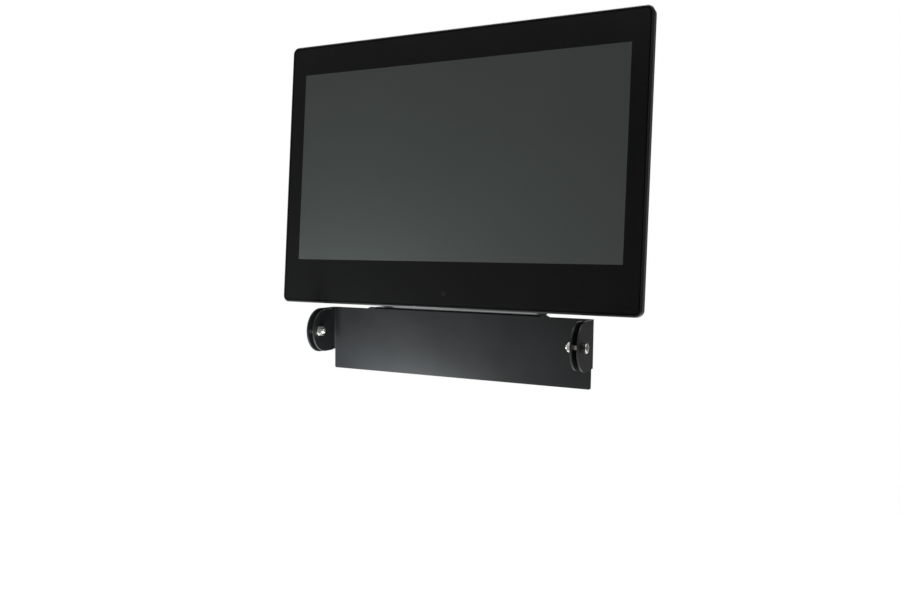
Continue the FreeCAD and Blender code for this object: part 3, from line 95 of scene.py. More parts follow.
class Finish:
    """One material and short calls for the nodes that drive its Principled shader."""

    def __init__(self, name, colour, roughness, metallic=0.0, specular=0.5):
        self.material = bpy.data.materials.new(name)
        self.material.use_nodes = True
        self.tree = self.material.node_tree
        self.shader = self.tree.nodes["Principled BSDF"]
        self.set("Base Color", (*colour, 1.0))
        self.set("Roughness", roughness)
        self.set("Metallic", metallic)
        self.set("Specular IOR Level", specular)
        self.place = self.node("ShaderNodeTexCoord").outputs["Object"]

    def set(self, name, value):
        self.feed(self.shader.inputs[name], value)

    def feed(self, socket, value):
        if isinstance(value, bpy.types.NodeSocket):
            self.tree.links.new(value, socket)
        else:
            socket.default_value = value

    def node(self, kind, inputs=None, **settings):
        made = self.tree.nodes.new(kind)
        for name, value in settings.items():
            setattr(made, name, value)
        for name, value in (inputs or {}).items():
            self.feed(made.inputs[name], value)
        return made

    def scaled(self, stretch, turn=(0.0, 0.0, 0.0)):
        """Object coordinates, stretched and turned."""
        mapping = self.node("ShaderNodeMapping", {"Vector": self.place, "Scale": stretch, "Rotation": turn})
        return mapping.outputs["Vector"]

    def noise(self, per_metre, detail=3.0, roughness=0.5, vector=None):
        """Cloudy pattern, 0 to 1, with so many features to the metre."""
        inputs = {"Vector": vector or self.place, "Scale": per_metre, "Detail": detail,
                  "Roughness": roughness}
        return self.node("ShaderNodeTexNoise", inputs).outputs["Fac"]

    def cells(self, per_metre):
        """Distance to the nearest of scattered points, in cell sizes."""
        inputs = {"Vector": self.place, "Scale": per_metre}
        return self.node("ShaderNodeTexVoronoi", inputs).outputs["Distance"]

    def maths(self, operation, a, b=0.0):
        made = self.node("ShaderNodeMath", operation=operation)
        self.feed(made.inputs[0], a)
        self.feed(made.inputs[1], b)
        return made.outputs[0]

    def spread(self, value, low, high, to_low=0.0, to_high=1.0):
        """A value's range, moved smoothly to another range and held there."""
        inputs = {"Value": value, "From Min": low, "From Max": high, "To Min": to_low, "To Max": to_high}
        return self.node("ShaderNodeMapRange", inputs, interpolation_type="SMOOTHSTEP").outputs["Result"]

    def swing(self, pattern, to_low=0.0, to_high=1.0):
        """A noise pattern's usual range, spread over another range."""
        return self.spread(pattern, *PATTERN_RANGE, to_low, to_high)

    def blend(self, share, first, second):
        """Two colours, mixed by a share from 0 to 1."""
        made = self.node("ShaderNodeMix", data_type="RGBA")
        for socket, value in zip((made.inputs[0], made.inputs[6], made.inputs[7]), (share, first, second)):
            self.feed(socket, (*value, 1.0) if isinstance(value, tuple) else value)
        return made.outputs[2]

    def mixed(self, first, second, share):
        """Two height patterns, added with one share for the first and the rest for the second."""
        rest = self.maths("MULTIPLY", second, 1 - share)
        return self.maths("ADD", self.maths("MULTIPLY", first, share), rest)

    def bump(self, height, depth, normal=None):
        """A normal bent by a height pattern that is so many metres deep."""
        made = self.node("ShaderNodeBump", {"Height": height, "Distance": depth, "Strength": 1.0})
        if normal is not None:
            self.feed(made.inputs["Normal"], normal)
        return made.outputs["Normal"]

    def edges(self, radius):
        """Share of edge wear and painted edge highlight: 1 at a sharp edge, 0 on open faces."""
        true = self.node("ShaderNodeNewGeometry").outputs["Normal"]
        dot = self.node("ShaderNodeVectorMath", operation="DOT_PRODUCT")
        self.feed(dot.inputs[0], self.soft_edges(radius))
        self.feed(dot.inputs[1], true)
        return self.spread(dot.outputs["Value"], *EDGE_WEAR_AND_HIGHLIGHT_FADE)

    def soft_edges(self, radius):
        """Normal that rounds the edges by a small radius."""
        return self.node("ShaderNodeBevel", {"Radius": radius}, samples=EDGE_SAMPLES).outputs["Normal"]

    def along(self, axis, origin):
        """Signed distance from a point along a direction, in metres."""
        offset = self.node("ShaderNodeVectorMath", operation="SUBTRACT")
        self.feed(offset.inputs[0], self.place)
        offset.inputs[1].default_value = origin
        dot = self.node("ShaderNodeVectorMath", operation="DOT_PRODUCT")
        self.feed(dot.inputs[0], offset.outputs[0])
        dot.inputs[1].default_value = axis
        return dot.outputs["Value"]

    def inside(self, value, half, soft):
        """1 where a distance is within half either way, fading over a soft edge."""
        return self.spread(self.maths("ABSOLUTE", value), half + soft, half - soft)


# ---------------------------------------------------------------- finishes
def powder_coat(name):
    """Satin black powder coat on sheet steel: orange peel, fine speckle, edges lighter, partly worn thin and
    partly a painted highlight.
    """
    f = Finish(name, (0.013, 0.0133, 0.0138), 0.42, specular=0.3)
    peel = f.noise(420, 2.0, 0.45)
    speckle = f.noise(2600, 2.0, 0.6)
    cloud = f.noise(14, 3.0, 0.55)
    # edge mask: patchy wear along the edges, and a painted highlight on them
    wear_and_painted_highlight = f.maths("MULTIPLY", f.edges(0.35 * MM), f.spread(f.noise(160, 4.0, 0.6), 0.35, 0.75, 0.25, 1.0))
    coat = f.blend(f.swing(cloud), (0.0105, 0.0108, 0.0112), (0.0135, 0.0138, 0.0142))
    # lighter colour at the edges: part worn coat, part painted edge highlight
    f.set("Base Color", f.blend(wear_and_painted_highlight, coat, (0.026, 0.0265, 0.0275)))
    rough = f.maths("ADD", f.swing(speckle, 0.36, 0.47), f.spread(cloud, 0.25, 0.75, -0.03, 0.03))
    f.set("Roughness", rough)
    height = f.mixed(peel, speckle, 0.8)
    f.set("Normal", f.bump(height, 0.02 * MM, f.soft_edges(0.25 * MM)))
    return f.material


def cover_glass(name):
    """Cover glass: black print round the picture, the dark panel behind it, faint smears."""
    print_soft = 0.12 * MM
    spot_core = 0.8             # share of the status window's radius that is full tone
    print_dark, print_light = (0.0042, 0.0042, 0.0044), (0.0055, 0.0055, 0.0057)
    spot_tone = (0.013, 0.0105, 0.011)
    panel_dark, panel_light = (0.0655, 0.0732, 0.069), (0.0688, 0.0768, 0.0726)
    pixel_tone, pixel_share, pixel_waves = (0.09, 0.1, 0.095), 0.06, 310.0
    f = Finish(name, (0.006, 0.006, 0.0065), 0.1)
    across = f.along(Vector((1, 0, 0)), SCREEN_ORIGIN)
    height = f.along(UP, SCREEN_ORIGIN)
    in_width = f.inside(across, PICTURE_W / 2, print_soft)
    picture = f.maths("MULTIPLY", in_width, f.inside(height, PICTURE_H / 2, print_soft))
    below = f.maths("ADD", height, STATUS_BELOW_PICTURE)
    squares = f.maths("ADD", f.maths("MULTIPLY", across, across), f.maths("MULTIPLY", below, below))
    spot = f.spread(f.maths("SQRT", squares), STATUS_R, STATUS_R * spot_core)
    print_tone = f.blend(f.swing(f.noise(900, 2.0)), print_dark, print_light)
    printed = f.blend(spot, print_tone, spot_tone)
    mura = f.noise(9, 2.0, 0.5)
    panel = f.blend(f.spread(mura, 0.25, 0.75), panel_dark, panel_light)
    wave = f.node("ShaderNodeTexWave", {"Vector": f.place, "Scale": pixel_waves}, wave_profile="SIN")
    panel = f.blend(f.spread(wave.outputs["Fac"], 0.0, 1.0, 0.0, pixel_share), panel, pixel_tone)
    f.set("Base Color", f.blend(picture, printed, panel))
    smear = f.noise(24, 5.0, 0.62, f.scaled((1.0, 1.0, 0.45)))
    grain = f.noise(5200, 1.0)
    smear_rough = f.spread(smear, 0.35, 0.75, 0.11, 0.19)
    f.set("Roughness", f.maths("ADD", smear_rough, f.swing(grain, 0.0, 0.02)))
    f.set("Normal", f.bump(grain, 0.0015 * MM))
    return f.material


def satin_black(name, low, high, rough, grain_per_metre=1600, grain=0.006 * MM, round_by=0.2 * MM):
    """Moulded or anodised black: fine grain, slow colour drift, polished edges that are lighter in colour,
    partly from wear and partly a painted highlight.
    """
    f = Finish(name, low, rough)
    cloud = f.noise(22, 3.0, 0.55)
    fine = f.noise(grain_per_metre, 3.0, 0.6)
    # edge mask: wear along the edges, and a painted highlight on them
    wear_and_painted_highlight = f.maths("MULTIPLY", f.edges(0.3 * MM), f.swing(f.noise(210, 3.0), 0.2, 0.8))
    tone = f.blend(f.swing(cloud), low, high)
    # lighter colour at the edges: part wear, part painted edge highlight
    f.set("Base Color", f.blend(wear_and_painted_highlight, tone, tuple(3.0 * value for value in high)))
    f.set("Roughness", f.maths("ADD", f.swing(fine, rough - 0.04, rough + 0.04),
                               f.maths("MULTIPLY", wear_and_painted_highlight, -0.08)))
    f.set("Normal", f.bump(fine, grain, f.soft_edges(round_by)))
    return f.material


def textured_plastic(name):
    """Spark-eroded moulded plastic of the rear cover."""
    f = Finish(name, (0.02, 0.02, 0.0215), 0.55, specular=0.45)
    pits = f.cells(2100)
    fine = f.noise(4200, 2.0, 0.6)
    cloud = f.noise(11, 3.0, 0.5)
    # edge mask: patchy wear along the edges, and a painted highlight on them
    wear_and_painted_highlight = f.maths("MULTIPLY", f.edges(0.5 * MM), f.spread(f.noise(120, 4.0, 0.6), 0.4, 0.75, 0.1, 0.9))
    tone = f.blend(f.swing(cloud), (0.018, 0.018, 0.0195), (0.023, 0.023, 0.0245))
    # lighter colour at the edges: part wear, part painted edge highlight
    f.set("Base Color", f.blend(wear_and_painted_highlight, tone, (0.05, 0.05, 0.052)))
    f.set("Roughness", f.maths("ADD", f.swing(fine, 0.5, 0.6), f.maths("MULTIPLY", wear_and_painted_highlight, -0.15)))
    height = f.mixed(pits, fine, 0.7)
    f.set("Normal", f.bump(height, 0.035 * MM, f.soft_edges(0.3 * MM)))
    return f.material


def bare_metal(name, low, high, rough, brushed=(1.0, 1.0, 1.0), streaks=900, depth=0.004 * MM):
    """Plated or bare metal: streaks along one direction, cloudy tarnish, bright edges, partly worn and partly
    a painted highlight.
    """
    f = Finish(name, low, rough, metallic=1.0)
    streak = f.noise(streaks, 3.0, 0.6, f.scaled(brushed))
    cloud = f.noise(130, 3.0, 0.6)
    wear_and_painted_highlight = f.edges(0.2 * MM)
    tone = f.blend(f.swing(cloud), low, high)
    # near-white colour at the edges: part worn plating, part painted edge highlight
    f.set("Base Color", f.blend(f.maths("MULTIPLY", wear_and_painted_highlight, 0.6), tone, (0.86, 0.85, 0.82)))
    f.set("Roughness", f.maths("ADD", f.swing(streak, rough - 0.07, rough + 0.08),
                               f.swing(cloud, -0.03, 0.04)))
    f.set("Normal", f.bump(streak, depth, f.soft_edges(0.12 * MM)))
    return f.material


def circuit_board(name):
    """Green solder mask over copper tracks, with bare pads."""
    f = Finish(name, (0.01, 0.06, 0.028), 0.35)
    brick = f.node("ShaderNodeTexBrick", {"Vector": f.scaled((1, 1, 1), (math.pi / 2, 0, 0)), "Scale": 260.0,
                                         "Mortar Size": 0.035, "Mortar Smooth": 0.2})
    pads = f.spread(f.cells(330), 0.12, 0.09)
    mask = f.blend(brick.outputs["Fac"], (0.008, 0.05, 0.022), (0.014, 0.085, 0.04))
    f.set("Base Color", f.blend(pads, mask, (0.62, 0.52, 0.26)))
    f.set("Metallic", pads)
    f.set("Roughness", f.swing(f.noise(600), 0.28, 0.42))
    f.set("Normal", f.bump(f.maths("ADD", brick.outputs["Fac"], pads), 0.02 * MM))
    return f.material


def soft_sheet(name, low, high, rough, per_metre, depth, specular=0.35):
    """Foam, film, pad or ribbon: a small-celled matt surface."""
    f = Finish(name, low, rough, specular=specular)
    cell = f.cells(per_metre)
    cloud = f.noise(60, 3.0)
    f.set("Base Color", f.blend(f.swing(cloud), low, high))
    f.set("Roughness", f.spread(cell, 0.1, 0.7, rough - 0.06, rough + 0.08))
    f.set("Normal", f.bump(cell, depth))
    return f.material


RECIPES = {
    "cover_glass": (cover_glass,),
    "frame_black": (satin_black, (0.009, 0.009, 0.0095), (0.012, 0.012, 0.0125), 0.34),
    "cover_black": (textured_plastic,),
    "bracket_black": (powder_coat,),
    "zinc_steel": (bare_metal, (0.66, 0.65, 0.62), (0.78, 0.77, 0.74), 0.38),
    "black_screw": (bare_metal, (0.035, 0.035, 0.037), (0.055, 0.055, 0.058), 0.36),
    "nylon_black": (satin_black, (0.009, 0.009, 0.0095), (0.013, 0.013, 0.0135), 0.4),
    "foam_black": (soft_sheet, (0.016, 0.016, 0.016), (0.024, 0.024, 0.024), 0.85, 3200, 0.05 * MM),
    "clear_film": (soft_sheet, (0.3, 0.31, 0.31), (0.34, 0.35, 0.35), 0.2, 500, 0.003 * MM),
    "lcd_glass": (soft_sheet, (0.028, 0.032, 0.03), (0.034, 0.038, 0.036), 0.22, 6200, 0.002 * MM),
    "diffuser_white": (soft_sheet, (0.72, 0.72, 0.71), (0.8, 0.8, 0.79), 0.5, 2500, 0.01 * MM),
    "sheet_steel": (bare_metal, (0.42, 0.43, 0.44), (0.56, 0.57, 0.58), 0.36, (1.0, 1.0, 0.06), 700),
    "cast_aluminium": (bare_metal, (0.5, 0.5, 0.51), (0.6, 0.6, 0.61), 0.38, (1.0, 1.0, 0.08), 900),
    "circuit_board": (circuit_board,),
    "chip_black": (satin_black, (0.014, 0.014, 0.015), (0.02, 0.02, 0.021), 0.5),
    "socket_black": (satin_black, (0.012, 0.012, 0.0125), (0.018, 0.018, 0.0185), 0.42),
    "socket_steel": (bare_metal, (0.58, 0.57, 0.55), (0.7, 0.69, 0.67), 0.24, (0.1, 1.0, 1.0), 1500),
    "thermal_grey": (soft_sheet, (0.2, 0.24, 0.28), (0.26, 0.3, 0.34), 0.7, 2600, 0.03 * MM),
    "ribbon": (soft_sheet, (0.5, 0.25, 0.05), (0.58, 0.3, 0.07), 0.35, 900, 0.01 * MM),
    "brass": (bare_metal, (0.58, 0.43, 0.17), (0.68, 0.51, 0.22), 0.3, (1.0, 0.2, 1.0), 1400),
    "button_black": (satin_black, (0.03, 0.03, 0.032), (0.038, 0.038, 0.04), 0.34),
    "bead_black": (soft_sheet, (0.001, 0.001, 0.001), (0.002, 0.002, 0.002), 0.7, 2600, 0.004 * MM, 0.04),
    "lamp_amber": (soft_sheet, (0.5, 0.24, 0.03), (0.6, 0.3, 0.05), 0.25, 1500, 0.004 * MM),
}
FINISHES = {slot: make(slot, *values) for slot, (make, *values) in RECIPES.items()}


def finish_nodes():
    """Every CAD node takes the finish of its slot in the record."""
    for part in frame["record"]["subparts"]:
        data = NODES[part["node"]].data
        data.materials.clear()
        data.materials.append(FINISHES[part["material_slot"]])


finish_nodes()


# ---------------------------------------------------------------- fine pieces
def add_piece(name, mesh, body, slot, finish=None):
    """A piece from a bmesh in the row frame. It rides on a body, with its slot's finish or one of its own."""
    bmesh.ops.recalc_face_normals(mesh, faces=mesh.faces)
    data = bpy.data.meshes.new(name)
    mesh.to_mesh(data)
    mesh.free()
    made = bpy.data.objects.new(name, data)
    bpy.context.scene.collection.objects.link(made)
    data.materials.append(finish or FINISHES[slot])
    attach(made, body)
    return made


def add_block(mesh, low, high, matrix=None, bevel=0.0):
    """A box between two corners, its edges rounded, in a mesh. Corners are in the matrix's frame."""
    low, high = Vector(low), Vector(high)
    size = Matrix.Diagonal((*(high - low), 1.0))
    place = (matrix or Matrix.Identity(4)) @ Matrix.Translation((low + high) / 2) @ size
    made = bmesh.ops.create_cube(mesh, size=1.0, matrix=place)
    if bevel:
        edges = list({edge for vert in made["verts"] for edge in vert.link_edges})
        bmesh.ops.bevel(mesh, geom=edges, offset=bevel, segments=2, profile=0.5, affect="EDGES")


def skin(mesh, sections, closed=False):
    """Faces from each section of points to the next, with capped ends, or joined round if closed."""
    following = sections[1:] + (sections[:1] if closed else [])
    for first, second in zip(sections, following):
        for i in range(len(first)):
            j = (i + 1) % len(first)
            mesh.faces.new((first[i], first[j], second[j], second[i]))
    if not closed:
        mesh.faces.new(sections[0])
        mesh.faces.new(sections[-1])


def round_z(angle):
    """Unit direction at an angle about Z."""
    return Vector((math.cos(angle), math.sin(angle), 0.0))


def add_lathe(mesh, profile, matrix, segments=40):
    """A closed turned shape about the matrix's Z: profile is (radius, height) pairs from axis to axis."""
    turn = [2 * math.pi * i / segments for i in range(segments)]
    rings = []
    for radius, height in profile:
        level = Vector((0, 0, height))
        angles = turn if radius > 0.0 else turn[:1]
        rings.append([mesh.verts.new(matrix @ (round_z(angle) * radius + level)) for angle in angles])
    for first, second in zip(rings, rings[1:]):
        for i in range(segments):
            j = (i + 1) % segments
            corners = [first[i % len(first)], first[j % len(first)],
                       second[j % len(second)], second[i % len(second)]]
            unique = list(dict.fromkeys(corners))
            if len(unique) > 2:
                mesh.faces.new(unique)


def add_thread(mesh, radius, depth, pitch, start, end, matrix, segments=32):
    """A screw thread's ridge about the matrix's Z, from start to end, sunk into the shank."""
    ridge_share = 0.46          # half of the ridge's width, as a share of the pitch
    run_out = 6                 # steps over which the ridge rises at each end
    least_rise = 0.05
    root_share = 0.9            # the ridge's root as a share of the thread's low radius
    turns = (end - start - pitch) / pitch
    steps = int(turns * segments)
    half = Vector((0, 0, pitch * ridge_share))
    sections = []
    for i in range(steps + 1):
        level = Vector((0, 0, start + pitch / 2 + pitch * i / segments))
        rise = max(least_rise, min(1.0, i / run_out, (steps - i) / run_out))
        direction = round_z(2 * math.pi * i / segments)
        low, crest = radius - depth, radius - depth * (1 - rise)
        points = [direction * low + level - half, direction * crest + level,
                  direction * low + level + half, direction * (low * root_share) + level]
        sections.append([mesh.verts.new(matrix @ point) for point in points])
    skin(mesh, sections)


def outward(side):
    """Frame at the pivot with +Z to the outside of one ear: side is 1 for the right and -1 for the left."""
    return Matrix.Rotation(side * math.pi / 2, 4, "Y")


NUT_H = 3.2 * MM
SCREW_TAIL = 1.8 * MM           # thread that shows past the nut
SHANK_R = 2.0 * MM
CORE_R = SHANK_R - 0.3 * MM
THREAD_DEPTH = 0.32 * MM
THREAD_PITCH = 0.7 * MM
THREAD_SINK = 0.02 * MM
THREAD_START = 0.15 * MM        # from the screw's tip
THREAD_HIDDEN = 1.4 * MM        # thread that runs on into the nut
TIP_R = CORE_R - 0.35 * MM
TIP_L = 0.5 * MM
NECK_L = 0.2 * MM
HEAD_RIM = 0.1 * MM             # height of the head's lower chamfer
HEAD_UNDER = 0.97               # radius under the head, as a share of the head's
DOME_SHARE = 0.62               # share of the head's height that is domed
DOME_STEPS = 7
RECESS_REACH = 0.5              # arm of the cross, as a share of the head's radius
RECESS_HALF_W = 0.11
RECESS_DEPTH = 0.5              # share of the head's height
SMOOTH_AREA = 1.2 * MM * MM     # larger faces are flat ones


def cut_away(target, cutter):
    """Takes a bmesh's solids out of an object's mesh."""
    bmesh.ops.recalc_face_normals(cutter, faces=cutter.faces)
    data = bpy.data.meshes.new("cutter")
    cutter.to_mesh(data)
    cutter.free()
    tool = bpy.data.objects.new("cutter", data)
    bpy.context.scene.collection.objects.link(tool)
    cut = target.modifiers.new("cut", "BOOLEAN")
    cut.object = tool
    cut.operation = "DIFFERENCE"
    cut.solver = "EXACT"
    cut.use_self = True
    bpy.context.view_layer.update()
    shape = bpy.data.meshes.new_from_object(target.evaluated_get(bpy.context.evaluated_depsgraph_get()))
    target.modifiers.clear()
    target.data = shape
    bpy.data.objects.remove(tool)


def pivot_screws():
    """Both pivot screws: domed heads with a cross recess, threaded ends that show past the nuts."""
    head_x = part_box("pivot_bushes")[1].x
    top_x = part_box("pivot_screws")[1].x
    nut_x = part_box("pivot_nuts")[1].x - NUT_H
    end_x = nut_x - SCREW_TAIL
    height = top_x - head_x
    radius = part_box("pivot_screws")[1].z
    arm, width = radius * RECESS_REACH, radius * RECESS_HALF_W
    floor_x, past_x = top_x - height * RECESS_DEPTH, top_x + height
    angles = [i * math.pi / 2 / DOME_STEPS for i in range(DOME_STEPS)]
    dome = [(radius * math.cos(t), top_x - height * DOME_SHARE * (1 - math.sin(t))) for t in angles]
    profile = [(0.0, end_x), (TIP_R, end_x), (CORE_R, end_x + TIP_L), (CORE_R, head_x - NECK_L),
               (radius * HEAD_UNDER, head_x), (radius, head_x + HEAD_RIM)] + dome + [(0.0, top_x)]
    mesh = bmesh.new()
    recesses = bmesh.new()
    for side in (-1, 1):
        matrix = outward(side)
        add_lathe(mesh, profile, matrix)
        add_thread(mesh, SHANK_R - THREAD_SINK, THREAD_DEPTH, THREAD_PITCH, end_x + THREAD_START,
                   nut_x + THREAD_HIDDEN, matrix)
        add_block(recesses, (-arm, -width, floor_x), (arm, width, past_x), matrix)
        add_block(recesses, (-width, -arm, floor_x), (width, arm, past_x), matrix)
    made = add_piece("pivot_screws_threaded", mesh, "wall_clamps", "zinc_steel")
    cut_away(made, recesses)
    for polygon in made.data.polygons:
        polygon.use_smooth = polygon.area < SMOOTH_AREA
    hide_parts("pivot_screws")


def local_box(node):
    """A CAD node's lowest and highest corners in the computer's own frame."""
    inverse = SCREEN.inverted()
    points = [inverse @ vert.co for vert in NODES[node].data.vertices]
    low = Vector(min(point[i] for point in points) for i in range(3))
    high = Vector(max(point[i] for point in points) for i in range(3))
    return low, high


ANY = math.inf
# Faces whose middle lies in a box take another slot's finish. The box's low and high corners are in
# millimetres from the low corner of the node's own box: across, back and up.
REPAINTED = (
    ("usb_ports", "socket_black", (1.1, 0.95, -ANY), (ANY, 2.9, ANY)),
    ("hdmi_port", "socket_black", (0.9, 2.55, 1.9), (ANY, 3.95, 13.3)),
    ("lan_port", "socket_black", (0.05, 0.6, 0.6), (14.1, 12.4, 15.4)),
    ("io_plate", "cover_black", (-ANY, -ANY, -ANY), (0.05, ANY, ANY)),
    ("mainboard", "chip_black", (-ANY, 1.65, -ANY), (ANY, ANY, ANY)),
    ("memory_module", "chip_black", (-ANY, 1.25, -ANY), (ANY, ANY, ANY)),
    ("ssd_module", "chip_black", (-ANY, 0.85, -ANY), (ANY, ANY, ANY)),
    ("wifi_module", "chip_black", (-ANY, 0.85, -ANY), (ANY, ANY, ANY)),
    ("touch_board", "chip_black", (-ANY, 1.25, -ANY), (ANY, ANY, ANY)),
    ("processor", "socket_steel", (-ANY, 1.75, -ANY), (ANY, ANY, ANY)),
)


def repaint_details():
    """Paints the faces listed in REPAINTED: socket linings, parts on the boards, the processor's lid."""
    inverse = SCREEN.inverted()
    for node, slot, low, high in REPAINTED:
        data = NODES[node].data
        origin = local_box(node)[0]
        data.materials.append(FINISHES[slot])
        index = len(data.materials) - 1
        for polygon in data.polygons:
            point = (inverse @ polygon.center - origin) / MM
            if all(least < value < most for least, value, most in zip(low, point, high)):
                polygon.material_index = index


def usb_contacts():
    """Four gilded contacts on the tongue of each USB socket."""
    low, high = local_box("usb_ports")
    socket_half, tongue_y = 6.6 * MM, low.y + 2.8 * MM
    front, back, half_w = 1.7 * MM, 12.0 * MM, 0.5 * MM
    sunk, proud, bevel = 0.05 * MM, 0.15 * MM, 0.05 * MM
    mesh = bmesh.new()
    for middle_z in (low.z + socket_half, high.z - socket_half):
        for step in (-3.5, -1.0, 1.0, 3.5):
            z = middle_z + step * MM
            add_block(mesh, (low.x + front, tongue_y - sunk, z - half_w),
                      (low.x + back, tongue_y + proud, z + half_w), SCREEN, bevel)
    add_piece("usb_contacts", mesh, "screen_unit", "brass")


def video_contacts():
    """Two rows of contacts, on both faces of the video socket's tongue."""
    low, high = local_box("hdmi_port")
    middle_z = (low.z + high.z) / 2
    count, pitch, half_w = 10, 1.0 * MM, 0.22 * MM
    front, back, proud, bevel = 1.3 * MM, 10.0 * MM, 0.05 * MM, 0.02 * MM
    mesh = bmesh.new()
    for i in range(count):
        z = middle_z + (i - (count - 1) / 2) * pitch
        for face_y in (low.y + 3.9 * MM, low.y + 2.6 * MM):
            add_block(mesh, (low.x + front, face_y - proud, z - half_w),
                      (low.x + back, face_y + proud, z + half_w), SCREEN, bevel)
    add_piece("video_contacts", mesh, "screen_unit", "brass")


def network_contacts():
    """Eight sloping spring contacts in the network socket, and its two lamps."""
    low, high = local_box("lan_port")
    middle_z = (low.z + high.z) / 2
    count, pitch, slope = 8, 1.02 * MM, -0.35
    length, half_t, half_w, bevel = 8.2 * MM, 0.1 * MM, 0.17 * MM, 0.03 * MM
    mesh = bmesh.new()
    for i in range(count):
        z = middle_z + (i - (count - 1) / 2) * pitch
        root = Matrix.Translation((low.x + 13.9 * MM, low.y + 1.5 * MM, z)) @ Matrix.Rotation(slope, 4, "Z")
        add_block(mesh, (-length, -half_t, -half_w), (0.0, half_t, half_w), SCREEN @ root, bevel)
    add_piece("network_contacts", mesh, "screen_unit", "brass")
    lamp_step, lamp_half, lamp_proud, lamp_sunk = 5.6 * MM, 1.2 * MM, 0.25 * MM, 0.4 * MM
    lamp_y = (high.y - 2.6 * MM, high.y - 0.8 * MM)
    lamps = bmesh.new()
    for side in (-1, 1):
        z = middle_z + side * lamp_step
        add_block(lamps, (low.x - lamp_proud, lamp_y[0], z - lamp_half),
                  (low.x + lamp_sunk, lamp_y[1], z + lamp_half), SCREEN, 0.15 * MM)
    add_piece("network_lamps", lamps, "screen_unit", "clear_film", FINISHES["lamp_amber"])


def speaker_cloth():
    """Cloth between each speaker and the slots under it: two crossed layers of flat threads."""
    inset, edge, drop = 7.5 * MM, 1.5 * MM, 0.3 * MM
    thread, pitch = 0.12 * MM, 0.75 * MM
    for name in ("speaker_left", "speaker_right"):
        low, high = local_box(name)
        x0, x1 = low.x + inset, high.x - inset
        y0, y1 = low.y + edge, high.y - edge
        z = low.z - drop
        mesh = bmesh.new()
        for i in range(int((x1 - x0) / pitch)):
            x = x0 + i * pitch
            add_block(mesh, (x, y0, z), (x + 2 * thread, y1, z + thread), SCREEN)
        for i in range(int((y1 - y0) / pitch)):
            y = y0 + i * pitch
            add_block(mesh, (x0, y, z + thread), (x1, y + 2 * thread, z + 2 * thread), SCREEN)
        add_piece(name + "_cloth", mesh, "screen_unit", "foam_black")


def arc_band(mesh, radius, width, start, end, low, high, matrix, segments=28):
    """A flat band bent round the matrix's Z between two angles."""
    corners = [(radius - width / 2, low), (radius + width / 2, low), (radius + width / 2, high),
               (radius - width / 2, high)]
    sections = []
    for i in range(segments + 1):
        direction = round_z(start + (end - start) * i / segments)
        sections.append([mesh.verts.new(matrix @ (direction * r + Vector((0, 0, h)))) for r, h in corners])
    skin(mesh, sections)


def button_marks():
    """Generic printed marks on the caps: a ring with a bar for power, a plus and a minus for the volume."""
    below, above = -0.03 * MM, 0.04 * MM
    half_w, reach = 0.15 * MM, 1.3 * MM
    bar_low, bar_high = 0.35 * MM, 1.75 * MM
    gap = 0.55                  # angle from the bar to each end of the ring
    for key in ("power", "volume_up", "volume_down"):
        low, high = local_box(key + "_button")
        face = Vector((low.x, (low.y + high.y) / 2, (low.z + high.z) / 2))
        matrix = SCREEN @ Matrix.Translation(face) @ Matrix.Rotation(-math.pi / 2, 4, "Y")
        mesh = bmesh.new()
        if key == "power":
            arc_band(mesh, reach, 2 * half_w, gap, 2 * math.pi - gap, below, above, matrix)
            add_block(mesh, (bar_low, -half_w, below), (bar_high, half_w, above), matrix)
        else:
            add_block(mesh, (-half_w, -reach, below), (half_w, reach, above), matrix)
        if key == "volume_up":
            add_block(mesh, (half_w, -half_w, below), (reach, half_w, above), matrix)
            add_block(mesh, (-reach, -half_w, below), (-half_w, half_w, above), matrix)
        add_piece(key + "_mark", mesh, key + "_key", "diffuser_white")


def glass_bead():
    """Black sealing bead that fills the joint between the glass and the frame's lip."""
    low, high = local_box("cover_glass")
    width, proud, corner = 0.85 * MM, 0.12 * MM, 4.0 * MM
    corner_steps = 8
    # (outwards from the glass's edge, back from its face), round the bead
    section = [(0.1 * MM, 0.35 * MM), (0.08 * MM, -proud * 0.2), (-width * 0.25, -proud),
               (-width * 0.7, -proud * 0.8), (-width, 0.02 * MM), (-width * 0.6, 0.1 * MM)]
    outline = []
    corners = ((high.x, high.z), (low.x, high.z), (low.x, low.z), (high.x, low.z))
    for index, (cx, cz) in enumerate(corners):
        centre = Vector((cx - math.copysign(corner, cx), 0.0, cz - math.copysign(corner, cz)))
        for i in range(corner_steps + 1):
            angle = math.pi / 2 * (index + i / corner_steps)
            outline.append((centre, Vector((math.cos(angle), 0.0, math.sin(angle)))))
    mesh = bmesh.new()
    rings = [[mesh.verts.new(SCREEN @ (centre + direction * (corner + out) + Vector((0.0, back, 0.0))))
              for out, back in section] for centre, direction in outline]
    skin(mesh, rings, closed=True)
    add_piece("glass_bead", mesh, "screen_unit", "foam_black", FINISHES["bead_black"])


pivot_screws()
repaint_details()
usb_contacts()
video_contacts()
network_contacts()
speaker_cloth()
button_marks()
glass_bead()


# ---------------------------------------------------------------- studio and camera
CAMERA_AT = Vector((0.30507, -0.59979, 0.07554))
CAMERA_YAW = math.radians(26.005)
CAMERA_PITCH = math.radians(-3.602)
CAMERA_ROLL = math.radians(0.626)
LENS = 31.675                   # millimetres, on a sensor SENSOR_W wide
SENSOR_W = 36.0
FLOOR_Z = -0.32
FLOOR_R = 0.85
# Strengths of the studio air, by the direction it is seen in. FRONT is the base, and is there all round.
WORLD_FRONT_LOW = 0.116
WORLD_FRONT_HIGH = 0.07
WORLD_LEFT = 0.122
WORLD_BEHIND = 0.9
WORLD_ABOVE = 0.8
